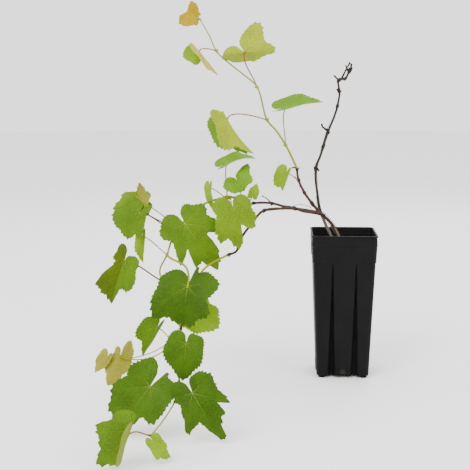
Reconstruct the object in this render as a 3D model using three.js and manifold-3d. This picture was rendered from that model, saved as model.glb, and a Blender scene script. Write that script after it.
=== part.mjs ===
// A young grapevine in a tall square nursery pot: a forked wooden stem, three canes that still grow,
// one dead cane, and green shoots whose stems, leaf stalks and leaves are fused into masses.
// Millimetres, +Z up. The origin is the centre of the pot's flat underside, and -Y is the front.
import * as THREE from 'three';
import { mergeVertices } from 'three/addons/utils/BufferGeometryUtils.js';
import Module from 'manifold-3d';

const wasm = await Module();
wasm.setup();

// ---------------------------------------------------------------- driving dimensions
const gap = 0.3; // air between two pieces that meet

const pot = {
  height: 200,
  rimHalf: 45, // half the outside width at the rim
  bandHalf: 44.2, // the same at the foot of the collar, the wider band at the top
  neckHalf: 43.4, // just under the collar
  footHalf: 36,
  draw: 0.5, // the collar draws in by this towards its top
  wall: 1.6,
  collar: 15, // height of the collar
  lip: 3, // height of the thicker edge at the collar's top
  step: 0.8, // height of the slope under the collar, and of the one under the lip
  waist: 80, // a level between the foot and the top of the flutes
  footRise: 3, // the floor's underside stands this high on the feet
  cornerRadius: 7,
};

const flute = {
  offset: 16, // from the middle of a side to the middle of each flute
  top: 162, // where the flutes run out
  halfWidth: 6.8, // at the foot
  depth: 7.5, // at the foot
  growth: 0.45, // the power of the way down by which the depth grows
  valley: 0.1, // how far the deepest line lies towards the middle of the side
};

const drain = { sideWidth: 9, sideDepth: 6, sideTop: 14, holeRadius: 5, holeOffset: 17 };
const padHalf = 9; // the square pad under the middle of the floor
const footRadius = 4.5;
const discSides = 12;
const mixTop = 175; // surface of the potting mix
const mixGap = 0.8; // between the mix and the pot's fluted wall
const mixSag = 2; // how much lower the mix lies at the pot's wall
const mixFlat = 0.75; // the mix is flat this share of the way out

const leafThickness = 1;
const stalkShape = {
  radius: 0.75,
  foot: 0.86, // radius where it leaves the stem
  sides: 5,
  stepLength: 14,
  leaveShare: 0.35, // where its first bend lies on the straight way to the leaf
  arriveBack: 0.14, // how far its second bend lies behind the leaf's joint
  arriveDrop: 0.16, // how far that bend lies under the blade
  underlap: 3, // it runs on under the midrib by this much
  sink: 0.25, // below the middle of the blade's thickness
};
const stemSides = 6;
const knotSwell = 1.45; // a knot's radius over its cane's
const knotRows = 4;
const stubSteps = 3;
const largeLeaf = 50;
const leafGrid = { large: [3, 24], small: [2, 18] }; // rings and spokes
const leafSpan = 170; // a leaf runs this many degrees round its joint on each side of its tip

// A leaf's outline, as shares of its length, with angles in degrees from its tip.
const outline = {
  sideReach: 0.54,
  spread: 50,
  lobes: [[48, 0.22], [104, 0.15]],
  lobeWidth: 8,
  notches: [[25, 0.72], [77, 0.32]],
  notchWidth: 12,
  tipRise: 0.06,
  tipWidth: 7,
  backStart: 110,
  backDrop: 0.6,
};
const creaseWidth = 0.05; // rounding of a folded leaf's midrib, as a share of its length
const cupping = 0.12;
const waving = 0.03;
const waves = 4;

// ---------------------------------------------------------------- materials
function finish(color, roughness) {
  return new THREE.MeshStandardMaterial({ color, roughness, metalness: 0 });
}
const blackPlastic = finish(0x202022, 0.5);
const pottingMix = finish(0x3a2a1e, 1);
const trunkBark = finish(0x5a4030, 0.9);
const deadBark = finish(0x4c443e, 0.9);
const redBark = finish(0x5a2e20, 0.8);
const brownBark = finish(0x54402c, 0.85);
const greenLeaf = finish(0x5c9412, 0.55);
const paleLeaf = finish(0x9aa83c, 0.6);

// ---------------------------------------------------------------- small tools
const vector = ([x, y, z]) => new THREE.Vector3(x, y, z);
const route = (points) => new THREE.CatmullRomCurve3(points.map(vector));
const clamp = (value, low, high) => Math.min(high, Math.max(low, value));
const mix = (a, b, share) => a + (b - a) * share;

// Moves every corner of a three.js shape to the place that move(x, y, z, index) gives.
function reshape(geometry, move) {
  const place = geometry.attributes.position;
  for (let i = 0; i < place.count; i += 1) {
    const p = move(place.getX(i), place.getY(i), place.getZ(i), i);
    place.setXYZ(i, p.x, p.y, p.z);
  }
  return geometry;
}

// A solid from a closed three.js shape. Triangles that shrank to nothing at a pole are left out.
function solid(geometry) {
  geometry.deleteAttribute('normal');
  geometry.deleteAttribute('uv');
  const merged = mergeVertices(geometry, 1e-4);
  const corners = [];
  const index = merged.index.array;
  for (let i = 0; i < index.length; i += 3) {
    const [a, b, c] = [index[i], index[i + 1], index[i + 2]];
    if (a !== b && b !== c && c !== a) corners.push(a, b, c);
  }
  return new wasm.Manifold(new wasm.Mesh({
    numProp: 3,
    vertProperties: new Float32Array(merged.attributes.position.array),
    triVerts: new Uint32Array(corners),
  }));
}

// The largest body of a solid, so that a scrap left by a cut is dropped.
function largest(shape) {
  const bodies = shape.decompose();
  return bodies.reduce((best, body) => (body.volume() > best.volume() ? body : best));
}

const whole = new THREE.Group();

function addPart(name, shape, material) {
  const mesh = largest(shape).getMesh();
  const geometry = new THREE.BufferGeometry();
  geometry.setAttribute('position', new THREE.BufferAttribute(mesh.vertProperties, 3));
  geometry.setIndex(new THREE.BufferAttribute(mesh.triVerts, 1));
  geometry.computeVertexNormals();
  const part = new THREE.Mesh(geometry, material);
  part.name = name;
  whole.add(part);
}

// ---------------------------------------------------------------- pot and potting mix
function potHalf(z) {
  const share = (z - pot.footRise) / (pot.height - pot.collar - pot.footRise);
  return mix(pot.footHalf, pot.neckHalf, share);
}

// One side of the pot's outline: places along the side and how deep each lies in a flute.
// Inside the wall a flute is a ridge, which is wider by the inset.
function sideOutline(z, inset) {
  const share = clamp((flute.top - z) / (flute.top - pot.footRise), 0, 1);
  const width = mix(0.6, flute.halfWidth, share) + 0.7 * inset * Math.min(1, 4 * share);
  const valley = flute.offset - flute.valley * width;
  const depth = flute.depth * share ** flute.growth;
  return [
    [-flute.offset - width, 0],
    [-valley, depth],
    [-flute.offset + width, 0],
    [flute.offset - width, 0],
    [valley, depth],
    [flute.offset + width, 0],
  ];
}
const cornerSteps = 2;
const sidePoints = 6 + cornerSteps + 1;
const ringPoints = 4 * sidePoints;

// Point number k of the pot's outline at height z, out from potHalf by grow and in by inset.
function potPoint(k, z, grow, inset) {
  const side = Math.floor(k / sidePoints) % 4;
  const place = k % sidePoints;
  const half = potHalf(z) + grow - inset;
  const radius = Math.max(pot.cornerRadius - inset, 1);
  let along;
  let out;
  if (place < 6) {
    const [step, depth] = sideOutline(z, inset)[place];
    along = step;
    out = half - depth;
  } else {
    const turn = (place - 6) / cornerSteps * Math.PI / 2;
    along = half - radius + radius * Math.sin(turn);
    out = half - radius + radius * Math.cos(turn);
  }
  const quarter = side * Math.PI / 2;
  return new THREE.Vector2(
    out * Math.cos(quarter) - along * Math.sin(quarter),
    out * Math.sin(quarter) + along * Math.cos(quarter),
  );
}

// A ring shape whose levels are [height, share of the way out from the middle, grow, inset].
function squareTurned(levels) {
  const profile = levels.map(([z, share]) => new THREE.Vector2(share, z));
  const turned = new THREE.LatheGeometry(profile, ringPoints);
  return solid(reshape(turned, (x, y, z, index) => {
    const [height, share, grow, inset] = levels[index % levels.length];
    const point = potPoint(Math.floor(index / levels.length) % ringPoints, height, grow, inset);
    return new THREE.Vector3(point.x * share, point.y * share, height);
  }));
}

function box(width, depth, height, x, y, z) {
  const block = new THREE.BoxGeometry(width, depth, height);
  block.translate(x, y, z + height / 2);
  return solid(block);
}

function disc(radius, height, x, y, z) {
  const cylinder = new THREE.CylinderGeometry(radius, radius, height, discSides);
  cylinder.rotateX(Math.PI / 2);
  cylinder.translate(x, y, z + height / 2);
  return solid(cylinder);
}

function makePot() {
  const collarBase = pot.height - pot.collar;
  const lipBase = pot.height - pot.lip;
  const band = pot.bandHalf - pot.neckHalf;
  const bandTop = band - pot.draw;
  const rim = pot.rimHalf - pot.neckHalf - pot.draw;
  const floor = pot.footRise + pot.wall;
  let shape = squareTurned([
    [pot.footRise, 0, 0, 0],
    [pot.footRise, 1, 0, 0],
    [pot.waist, 1, 0, 0],
    [flute.top, 1, 0, 0],
    [collarBase, 1, 0, 0],
    [collarBase + pot.step, 1, band, 0],
    [lipBase, 1, bandTop, 0],
    [lipBase + pot.step, 1, rim, 0],
    [pot.height, 1, rim, 0],
    [pot.height, 1, bandTop, pot.wall],
    [collarBase + pot.wall + 2 * pot.step, 1, band, pot.wall],
    [collarBase + pot.wall + pot.step, 1, 0, pot.wall],
    [flute.top, 1, 0, pot.wall],
    [pot.waist, 1, 0, pot.wall],
    [floor, 1, 0, pot.wall],
    [floor, 0, 0, pot.wall],
  ]);
  const footPlace = pot.footHalf - pot.cornerRadius;
  const footHeight = pot.footRise + pot.wall / 2;
  shape = shape.add(box(2 * padHalf, 2 * padHalf, footHeight, 0, 0, 0));
  for (let side = 0; side < 4; side += 1) {
    const angle = side * Math.PI / 2;
    const cos = Math.round(Math.cos(angle));
    const sin = Math.round(Math.sin(angle));
    const along = (out) => [out * cos, out * sin];
    const [footX, footY] = [footPlace * (cos - sin), footPlace * (sin + cos)];
    shape = shape.add(disc(footRadius, footHeight, footX, footY, 0));
    const { sideWidth, sideDepth } = drain;
    const wide = cos !== 0 ? [sideDepth, sideWidth] : [sideWidth, sideDepth];
    const low = pot.footRise - gap;
    const hole = box(...wide, drain.sideTop - low, ...along(pot.footHalf), low);
    const round = disc(drain.holeRadius, 2 * pot.wall, ...along(drain.holeOffset), low);
    shape = shape.subtract(hole).subtract(round);
  }
  return shape;
}

function makeMix() {
  const clear = pot.wall + mixGap;
  const bottom = pot.footRise + clear;
  return squareTurned([
    [bottom, 0, 0, clear],
    [bottom, 1, 0, clear],
    [pot.waist, 1, 0, clear],
    [flute.top, 1, 0, clear],
    [mixTop - mixSag, 1, 0, clear],
    [mixTop, mixFlat, 0, clear],
    [mixTop, 0, 0, clear],
  ]);
}

// ---------------------------------------------------------------- stems, stalks and knots
// The axis that a curve runs along least, which keeps the tube round it from twisting.
function steadyAxis(curve) {
  const chord = curve.getPointAt(1).sub(curve.getPointAt(0));
  const size = [Math.abs(chord.x), Math.abs(chord.y), Math.abs(chord.z)];
  const least = size.indexOf(Math.min(...size));
  return vector([0, 1, 2].map((axis) => (axis === least ? 1 : 0)));
}

// A closed tube along the stretch of a curve between two shares of its length.
function tube(curve, from, to, startRadius, endRadius, sides, steps) {
  const steady = steadyAxis(curve);
  const cylinder = new THREE.CylinderGeometry(1, 1, 1, sides, steps);
  return solid(reshape(cylinder, (x, y, z) => {
    const share = clamp(y + 0.5, 0, 1);
    const place = mix(from, to, share);
    const tangent = curve.getTangentAt(place);
    const across = new THREE.Vector3().crossVectors(steady, tangent).normalize();
    const other = new THREE.Vector3().crossVectors(across, tangent);
    const radius = mix(startRadius, endRadius, share);
    const point = curve.getPointAt(place);
    return point.addScaledVector(across, x * radius).addScaledVector(other, z * radius);
  }));
}

function knot(center, radius) {
  const ball = new THREE.SphereGeometry(radius, stemSides, knotRows);
  ball.translate(center.x, center.y, center.z);
  return solid(ball);
}

// A cane: a tapering tube with a knot at each node, and short bare stubs.
function cane({ points, radii, steps, knots = [], stubs = [], swell = 0 }) {
  const curve = route(points);
  const pieces = [tube(curve, 0, 1, radii[0] + swell, radii[1] + swell, stemSides, steps)];
  for (const share of knots) {
    const radius = mix(radii[0], radii[1], share) * knotSwell;
    pieces.push(knot(curve.getPointAt(share), radius + swell));
  }
  for (const stub of stubs) {
    const [wide, narrow] = stub.radii;
    pieces.push(tube(route(stub.points), 0, 1, wide + swell, narrow + swell, stemSides, stubSteps));
    pieces.push(knot(vector(stub.points.at(-1)), narrow * knotSwell + swell));
  }
  return wasm.Manifold.union(pieces);
}

const trunk = {
  points: [[2, 3, 170], [1, 2, 178], [-10, 0, 201], [-20, -2, 215], [-32, -4, 226], [-44, -2, 239]],
  radii: [2.6, 2.1],
  steps: 12,
  knots: [0.77, 0.985],
};
const bareCane = {
  points: [[-9, 8, 170], [-12, 8, 182], [-31, 8, 225], [-36, 8, 250], [-39, 8, 287],
    [-33, 8, 304], [-22, 9, 339], [-13, 9, 362], [-8, 10, 387], [-7, 10, 409], [-2, 11, 413], [6, 11, 428]],
  radii: [2.1, 1.4],
  steps: 20,
  knots: [0.46, 0.67, 0.86, 0.93],
  stubs: [
    { points: [[-22, 9, 339], [-27, 8, 345], [-35, 8, 349]], radii: [1.2, 0.9] },
    { points: [[-4, 11, 412], [3, 11, 419], [9, 11, 426]], radii: [2.2, 1.9] },
    { points: [[-7, 10, 408], [-11, 10, 411], [-16, 9, 412]], radii: [1.1, 0.9] },
  ],
};
const uprightCane = {
  points: [[-43, -2, 238], [-54, 2, 253], [-63, 6, 272], [-65, 8, 287]],
  radii: [2, 1.6],
  steps: 6,
  knots: [0.5, 1],
  stubs: [{ points: [[-65, 8, 286], [-69, 9, 290], [-71, 9, 292]], radii: [1.1, 0.9] }],
};
const upperSideCane = {
  points: [[-31, -5, 227], [-51, -12, 231], [-70, -20, 235], [-83, -26, 238], [-100, -32, 243],
    [-123, -42, 244], [-126, -43, 243]],
  radii: [1.9, 1.7],
  steps: 11,
  knots: [0.4, 0.72, 1],
  stubs: [{ points: [[-100, -32, 243], [-107, -32, 250], [-113, -32, 253]], radii: [1, 0.8] }],
};
const lowerSideCane = {
  points: [[-26, -4, 223], [-36, -14, 227], [-53, -24, 231], [-70, -35, 236], [-99, -51, 237],
    [-112, -59, 235], [-129, -74, 216], [-139, -80, 202], [-145, -86, 186], [-157, -96, 182]],
  radii: [1.9, 1.6],
  steps: 16,
  knots: [0.28, 0.57, 0.88, 1],
};

// ---------------------------------------------------------------- leaves
// How far a leaf's margin lies from its joint, as a share of its length, at an angle from its tip.
// bumps are the leaf's own [angle, rise, width], with a negative rise for a bay.
function marginReach(degrees, { lobing, bumps }) {
  const angle = Math.abs(degrees);
  const body = outline.sideReach + (1 - outline.sideReach) * Math.exp(-((angle / outline.spread) ** 1.7));
  const tip = 1 - outline.tipRise + outline.tipRise * Math.exp(-angle / outline.tipWidth);
  let lobes = 1;
  for (const [place, rise] of outline.lobes) {
    lobes += lobing * rise * Math.exp(-Math.abs(angle - place) / outline.lobeWidth);
  }
  for (const [place, fall] of outline.notches) {
    lobes -= lobing * fall * Math.exp(-(((angle - place) / outline.notchWidth) ** 2));
  }
  for (const [place, rise, width] of bumps) {
    lobes += rise * Math.exp(-(((degrees - place) / width) ** 2));
  }
  const back = clamp((angle - outline.backStart) / (leafSpan - outline.backStart), 0, 1);
  return body * tip * lobes * (1 - outline.backDrop * back * back);
}

// A leaf blade: a flat slab mapped round its joint, folded along the midrib, cupped, and curled
// towards its tip. joint is where the stalk ends, tip and face are the ways it points and looks.
function blade(leaf) {
  const { joint, length, width, turn, fold, curl, wave } = leaf;
  const [rings, spokes] = length > largeLeaf ? leafGrid.large : leafGrid.small;
  const slab = new THREE.BoxGeometry(1, 1, 1, rings, spokes, 1);
  const foldAngle = THREE.MathUtils.degToRad(fold);
  const bend = THREE.MathUtils.degToRad(curl);
  const { tipWay, faceWay, sideWay } = leafWays(leaf);
  return solid(reshape(slab, (x, y, z) => {
    const ring = x + 0.5;
    const degrees = 2 * y * leafSpan;
    const angle = THREE.MathUtils.degToRad(degrees + turn);
    const reach = ring * marginReach(degrees, leaf);
    const along = reach * Math.cos(angle);
    const flat = reach * Math.sin(angle);
    const across = flat * (flat > 0 ? width[0] : width[1]);
    const rise = Math.hypot(across, creaseWidth) - creaseWidth;
    const thick = z * leafThickness / length / Math.cos(foldAngle);
    const lift = rise * Math.sin(foldAngle) - cupping * (along * along + across * across)
      + waving * Math.sin(waves * angle + wave) * reach * ring + thick;
    const forward = Math.sin(bend * along) / bend + lift * Math.sin(bend * along);
    const up = (Math.cos(bend * along) - 1) / bend + lift * Math.cos(bend * along);
    return vector(joint)
      .addScaledVector(tipWay, forward * length)
      .addScaledVector(sideWay, across * Math.cos(foldAngle) * length)
      .addScaledVector(faceWay, up * length);
  }));
}

function leafWays({ tip, face }) {
  const tipWay = vector(tip).normalize();
  const faceWay = vector(face);
  faceWay.addScaledVector(tipWay, -faceWay.dot(tipWay)).normalize();
  const sideWay = new THREE.Vector3().crossVectors(faceWay, tipWay);
  return { tipWay, faceWay, sideWay };
}

// A leaf stalk: it leaves the stem, bends up by the leaf's rise as a share of the straight way,
// and runs in under the blade's midrib.
function stalk(start, leaf) {
  const { radius, foot, sides, leaveShare, arriveBack, arriveDrop } = stalkShape;
  const { tipWay, faceWay } = leafWays(leaf);
  const joint = vector(leaf.joint);
  const reach = joint.distanceTo(start);
  const leave = start.clone().lerp(joint, leaveShare);
  leave.z += leaf.rise * reach;
  const arrive = joint.clone().addScaledVector(tipWay, -arriveBack * reach);
  arrive.addScaledVector(faceWay, -arriveDrop * reach);
  const end = joint.clone().addScaledVector(tipWay, stalkShape.underlap);
  end.addScaledVector(faceWay, -stalkShape.sink);
  const curve = new THREE.CubicBezierCurve3(start, leave, arrive, end);
  const steps = clamp(Math.round(reach / stalkShape.stepLength), 2, 5);
  return tube(curve, 0, 1, foot, radius, sides, steps);
}

// Habits: how deeply the leaf is lobed, how far it folds along its midrib and how far it curls.
const habits = {
  lobed: { lobing: 0.6, fold: 12, curl: 20 },
  broad: { lobing: 0.25, fold: 14, curl: 22 },
  round: { lobing: 0.12, fold: 16, curl: 15 },
  folded: { lobing: 0.2, fold: 52, curl: 5 },
};

// at is the share of the shoot's length where the stalk leaves it.
function leafRow(at, habit, joint, tip, face, length, width = [1, 1], more = {}) {
  const wave = joint[0] + joint[2];
  const plain = { turn: 0, rise: 0, bumps: [], wave };
  return { at, joint, tip, face, length, width, ...plain, ...habits[habit], ...more };
}

// ---------------------------------------------------------------- shoots and their masses
const uprightShoot = {
  points: [[-65, 8, 287], [-80, 14, 317], [-94, 18, 338], [-107, 22, 353], [-121, 30, 398],
    [-140, 34, 415], [-162, 38, 432], [-178, 42, 447], [-189, 46, 470], [-202, 50, 492]],
  radii: [1.5, 0.8],
  steps: 22,
  leaves: [
    leafRow(0.14, 'round', [-83, 12, 370], [1, -0.05, 0.26], [-0.1, -0.3, 0.95], 52, [1.05, 0.6],
      { curl: -4 }),
    leafRow(0.31, 'folded', [-163, 14, 356], [0.45, -0.05, -0.9], [-0.9, -0.15, -0.45], 61, [0.95, 1.35],
      { rise: 0.1, bumps: [[-120, -0.3, 35], [-95, 0.15, 28], [55, 0.35, 20], [112, 0.1, 16],
      [152, -0.55, 16], [-152, -0.4, 16]] }),
    leafRow(0.5, 'broad', [-139, 28, 446], [1, 0, 0.08], [0, 0.79, 0.61], 63, [1, 1], { turn: 55, fold: 32,
      curl: 10, bumps: [[-118, 0.45, 18], [-70, 0.15, 10], [-62, 0.1, 8], [-38, -0.25, 14],
      [-12, -0.36, 12], [3, -0.3, 10], [20, -0.25, 20], [46, -0.25, 14], [110, -0.04, 40]] }),
    leafRow(0.8, 'folded', [-203, 36, 448], [0.64, 0, -0.77], [-0.64, -0.5, -0.58], 46,
      [0.85, 0.85], { curl: -15, rise: 0.15, bumps: [[-105, 0.3, 20], [-32, -0.5, 24], [42, 0.2, 20]] }),
    leafRow(1, 'broad', [-208, 50, 496], [-0.79, -0.1, 0.61], [-0.35, -0.85, 0], 27, [1.3, 1.3], { fold: 35,
      curl: 60, bumps: [[5, -0.4, 20], [-100, -0.45, 20], [-142, -0.6, 22], [-70, 0.12, 12], [72, 0.35, 18],
      [114, -0.25, 20]] }),
  ],
};
const sideShoot = {
  points: [[-126, -43, 243], [-146, -50, 252], [-159, -54, 253], [-190, -66, 245], [-217, -84, 221],
    [-229, -97, 202], [-234, -110, 185], [-242, -126, 167], [-238, -138, 155]],
  radii: [1.6, 1.1],
  steps: 20,
  leaves: [
    leafRow(0.02, 'round', [-124, -54, 256], [0.3, -0.35, 0.9], [0.2, -0.8, 0.5], 17,
      [0.85, 0.75], { curl: 30 }),
    leafRow(0.07, 'round', [-145, -60, 277], [0.6, -0.45, -0.65], [0.15, -0.75, 0.5], 29,
      [1.25, 1.25], { curl: 30, bumps: [[5, -0.4, 35], [118, 0.6, 20], [-80, 0.3, 20]] }),
    leafRow(0.16, 'lobed', [-149, -98, 243], [0.2, -0.3, -0.95], [0.1, -0.9, 0.35], 54,
      [0.85, 0.95], { lobing: 0.5, bumps: [[-30, 0.4, 10], [18, -0.2, 8], [72, 0.25, 12]] }),
    leafRow(0.18, 'broad', [-161, -46, 298], [0.85, 0.1, 0.45], [-0.35, -0.22, 0.9], 42, [1.1, 0.95]),
    leafRow(0.19, 'round', [-182, -60, 266], [0, -0.1, -1], [-0.85, -0.5, 0.1], 30, [0.7, 0.7]),
    leafRow(0.58, 'lobed', [-211, -103, 224], [0.6, -0.15, -0.8], [0, -0.9, 0.3], 70, [1, 0.82],
      { bumps: [[-90, 0.2, 16], [-50, 0.15, 8], [-25, 0.5, 8], [-36, -0.25, 6], [3, 0.1, 8], [20, 0.2, 8],
      [36, -0.2, 8], [122, -0.24, 22]] }),
    leafRow(0.58, 'round', [-269, -92, 252], [-1, -0.1, -0.15], [-0.15, -0.8, 0.5], 40,
      [0.8, 0.7], { bumps: [[-50, 0.2, 14]] }),
    leafRow(0.6, 'lobed', [-265, -106, 245], [-0.1, -0.1, 1], [0.25, 0.9, 0.1], 32, [0.5, 0.5],
      { bumps: [[20, 0.75, 12], [33, 0.25, 8], [55, 0.35, 12]] }),
    leafRow(0.63, 'broad', [-268, -114, 240], [-0.5, -0.25, -0.8], [-0.3, -0.9, 0.2], 45, [0.65, 1],
      { bumps: [[50, 0.3, 15], [100, -0.4, 18], [-62, 0.35, 18], [-30, 0.15, 12], [2, -0.14, 14]] }),
    leafRow(0.79, 'round', [-266, -112, 208], [-0.1, -0.05, -1], [-0.3, -0.95, 0], 36,
      [0.3, 0.5], { fold: 30 }),
    leafRow(0.79, 'broad', [-200, -198, 161], [-0.15, -0.5, -0.85], [-0.1, -0.85, 0.5], 64, [1, 1.1],
      { curl: 45, bumps: [[-125, -0.12, 25], [-60, 0.12, 20], [-37, 0.16, 9], [-2, -0.22, 13],
      [62, -0.2, 8], [95, 0.2, 16], [148, -0.1, 8], [170, 1.2, 10]] }),
    leafRow(1, 'lobed', [-285, -142, 182], [-0.35, -0.2, -0.9], [-0.1, -0.9, 0.2], 62, [0.9, 0.8],
      { fold: 30, bumps: [[-105, -0.45, 28], [-72, -0.25, 8], [-58, -0.5, 9], [-47, -0.15, 4],
      [-38, 0.2, 10], [-24, 0.4, 9], [10, -0.2, 7], [28, 0.2, 8], [48, -0.12, 8], [105, -0.2, 18],
      [142, -0.6, 26], [168, -0.4, 12]] }),
  ],
};
const lowerShoot = {
  points: [[-157, -96, 182], [-182, -112, 170], [-195, -126, 155], [-202, -146, 133], [-210, -176, 105],
    [-211, -208, 90], [-209, -240, 75], [-205, -264, 64], [-206, -284, 48.5], [-217, -330, 35],
    [-228, -356, 26]],
  radii: [1.5, 0.8],
  steps: 24,
  leaves: [
    leafRow(0.27, 'round', [-195, -160, 124], [0.75, 0, -0.65], [0, -0.95, 0.1], 42,
      [1.1, 1.1], { bumps: [[62, -0.2, 15], [-95, 0.2, 18]] }),
    leafRow(0.52, 'round', [-196, -270, 108], [-0.1, -0.3, -0.95], [0, -0.95, 0.3], 44,
      [0.95, 0.95], { bumps: [[-70, 0.18, 18], [135, -0.2, 18]] }),
    leafRow(0.52, 'round', [-239, -190, 107], [-0.52, -0.3, -0.8], [-0.4, -0.85, 0.1], 42, [0.25, 0.95],
      { fold: 25, bumps: [[-130, -0.3, 25], [-18, -0.2, 14]] }),
    leafRow(0.4, 'broad', [-281, -216, 78], [-0.45, -0.15, -0.9], [0.2, 0.9, 0.25], 38,
      [0.75, 0.75], { turn: -20, rise: -0.47, bumps: [[20, 0.3, 12], [110, -0.4, 25], [-155, 0.7, 20]] }),
    leafRow(0.4, 'round', [-297, -220, 77], [-0.5, -0.1, -0.85], [0.6, 0.75, 0.25], 23, [1.1, 0.5],
      { rise: -0.38 }),
    leafRow(0.7, 'lobed', [-236, -291, 62], [-0.7, -0.25, -0.65], [-0.1, -0.9, 0.4], 62, [0.94, 1],
      { lobing: 0.4, turn: 8, bumps: [[-155, 0.45, 22], [-60, 0.1, 14], [-26, 0.4, 11], [75, 0.15, 15],
      [172, 1, 12]] }),
    leafRow(0.79, 'lobed', [-186, -304, 59], [0.5, -0.3, -0.8], [-0.15, -0.95, 0.3], 63, [0.95, 0.8],
      { lobing: 0.8, curl: 8, bumps: [[-105, -0.25, 18], [-62, -0.12, 12], [-53, -0.12, 6], [-42, 0.14, 6],
      [-27, 0.3, 8], [-8, -0.12, 8], [6, 0.12, 5], [19, 0.22, 5], [28, 0.4, 7], [43, -0.3, 5],
      [78, 0.15, 8], [112, -0.1, 20], [145, -0.15, 15]] }),
    leafRow(1, 'folded', [-246, -390, 42], [-0.35, -0.35, -0.9], [-0.8, -0.6, 0.1], 49, [1, 1], { turn: -25,
      lobing: 0.3, bumps: [[-90, 0.1, 15], [-56, 0.4, 12], [-51, -0.08, 6], [-29, 0.18, 8], [-10, 0.15, 10],
      [3, -0.12, 9], [58, 0.35, 12]] }),
    leafRow(1, 'broad', [-223, -372, 25], [0.6, -0.3, -0.7], [0.1, -0.95, 0.3], 24, [0.8, 0.64],
      { bumps: [[18, 0.25, 12], [-35, 0.3, 14]] }),
  ],
};

// One mass: the shoot's stem between two shares of its length, with the leaves that leave it there.
// Its own leaves are cut clear of the stretch of stem just before it, which another mass holds.
const clearStretch = 0.1;
function mass(shoot, from, to) {
  const curve = route(shoot.points);
  const start = from === 0 ? 0 : from + gap / curve.getLength();
  const radiusAt = (share) => mix(shoot.radii[0], shoot.radii[1], share);
  const steps = Math.max(2, Math.round(shoot.steps * (to - from)));
  const pieces = [tube(curve, start, to, radiusAt(start), radiusAt(to), stemSides, steps)];
  for (const leaf of shoot.leaves) {
    const inside = leaf.at >= from && (leaf.at < to || to === 1);
    if (!inside) continue;
    const base = curve.getPointAt(leaf.at);
    pieces.push(knot(base, radiusAt(leaf.at) * knotSwell));
    pieces.push(stalk(base, leaf));
    pieces.push(blade(leaf));
  }
  const room = radiusAt(from) + gap;
  const before = tube(curve, Math.max(0, from - clearStretch), from, room, room, stemSides, 4);
  return wasm.Manifold.union(pieces).subtract(before);
}

// The small leaf on its own thin stalk beside the upright cane.
const spurLeaf = leafRow(0.68, 'round', [-80, -6, 282], [-0.4, -0.1, -0.9], [-0.5, -0.85, 0.2], 28,
  [0.5, 1], { fold: 25, bumps: [[0, -0.2, 12], [26, 0.25, 12], [-28, 0.15, 12]] });

function makeSpur() {
  const start = route(uprightCane.points).getPointAt(spurLeaf.at);
  return wasm.Manifold.union([stalk(start, spurLeaf), blade(spurLeaf)]);
}

// ---------------------------------------------------------------- assembly
const swollen = (limb) => cane({ ...limb, swell: gap });
const level = [0, 0, 1];

addPart('pot', makePot(), blackPlastic);
addPart('potting_mix', makeMix(), pottingMix);
addPart('trunk', cane(trunk).trimByPlane(level, mixTop + gap), trunkBark);
addPart('bare_cane', cane(bareCane).trimByPlane(level, mixTop + gap), deadBark);
addPart('upright_cane', cane(uprightCane).subtract(swollen(trunk)), redBark);
addPart('upper_side_cane', cane(upperSideCane).subtract(swollen(trunk)), brownBark);
addPart('lower_side_cane', cane(lowerSideCane).subtract(swollen(trunk)), brownBark);
addPart('spur_leaf', makeSpur().subtract(swollen(uprightCane)), greenLeaf);
addPart('upright_shoot_low', mass(uprightShoot, 0, 0.46).subtract(swollen(uprightCane)), paleLeaf);
addPart('upright_shoot_top', mass(uprightShoot, 0.46, 1), paleLeaf);
addPart('side_shoot_near', mass(sideShoot, 0, 0.3).subtract(swollen(upperSideCane)), greenLeaf);
addPart('side_shoot_far', mass(sideShoot, 0.3, 0.7), greenLeaf);
addPart('side_shoot_tip', mass(sideShoot, 0.7, 1), greenLeaf);
addPart('lower_shoot_near', mass(lowerShoot, 0, 0.5).subtract(swollen(lowerSideCane)), greenLeaf);
addPart('lower_shoot_mid', mass(lowerShoot, 0.5, 0.75), greenLeaf);
addPart('lower_shoot_tip', mass(lowerShoot, 0.75, 1), greenLeaf);

export default whole;
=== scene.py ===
import math

import bmesh
import bpy
import numpy as np
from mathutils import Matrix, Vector


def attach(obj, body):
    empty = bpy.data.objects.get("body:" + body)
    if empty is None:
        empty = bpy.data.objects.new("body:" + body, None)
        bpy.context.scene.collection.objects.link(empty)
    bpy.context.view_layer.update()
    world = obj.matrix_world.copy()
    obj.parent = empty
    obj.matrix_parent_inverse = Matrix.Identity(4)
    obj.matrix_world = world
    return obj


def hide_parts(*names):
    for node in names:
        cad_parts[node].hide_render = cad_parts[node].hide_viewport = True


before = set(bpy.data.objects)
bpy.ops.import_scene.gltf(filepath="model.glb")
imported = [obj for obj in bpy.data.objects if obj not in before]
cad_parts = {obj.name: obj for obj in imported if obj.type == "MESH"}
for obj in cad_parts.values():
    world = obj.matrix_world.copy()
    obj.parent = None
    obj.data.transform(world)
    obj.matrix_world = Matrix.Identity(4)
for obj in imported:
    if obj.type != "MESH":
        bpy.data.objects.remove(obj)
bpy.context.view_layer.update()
print("frame loaded")

# A young grapevine in a square nursery pot. Sizes are millimetres until a mesh is written,
# +Z is up, -Y is the front and the pot's underside stands on z = 0.
mm = 0.001
dice = np.random.default_rng(23)


def unit(way):
    way = np.asarray(way, float)
    return way / np.linalg.norm(way)


def ease(low, high, value):  # 0 below low, 1 above high, smooth between
    share = np.clip((value - low) / (high - low), 0, 1)
    return share * share * (3 - 2 * share)


def paint(code, strength=1.0):  # a colour as seen on a screen, made linear
    parts = [((code >> shift) & 255) / 255 for shift in (16, 8, 0)]
    linear = [p / 12.92 if p <= 0.04045 else ((p + 0.055) / 1.055) ** 2.4 for p in parts]
    return [min(1.0, part * strength) for part in linear] + [1]


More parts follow.
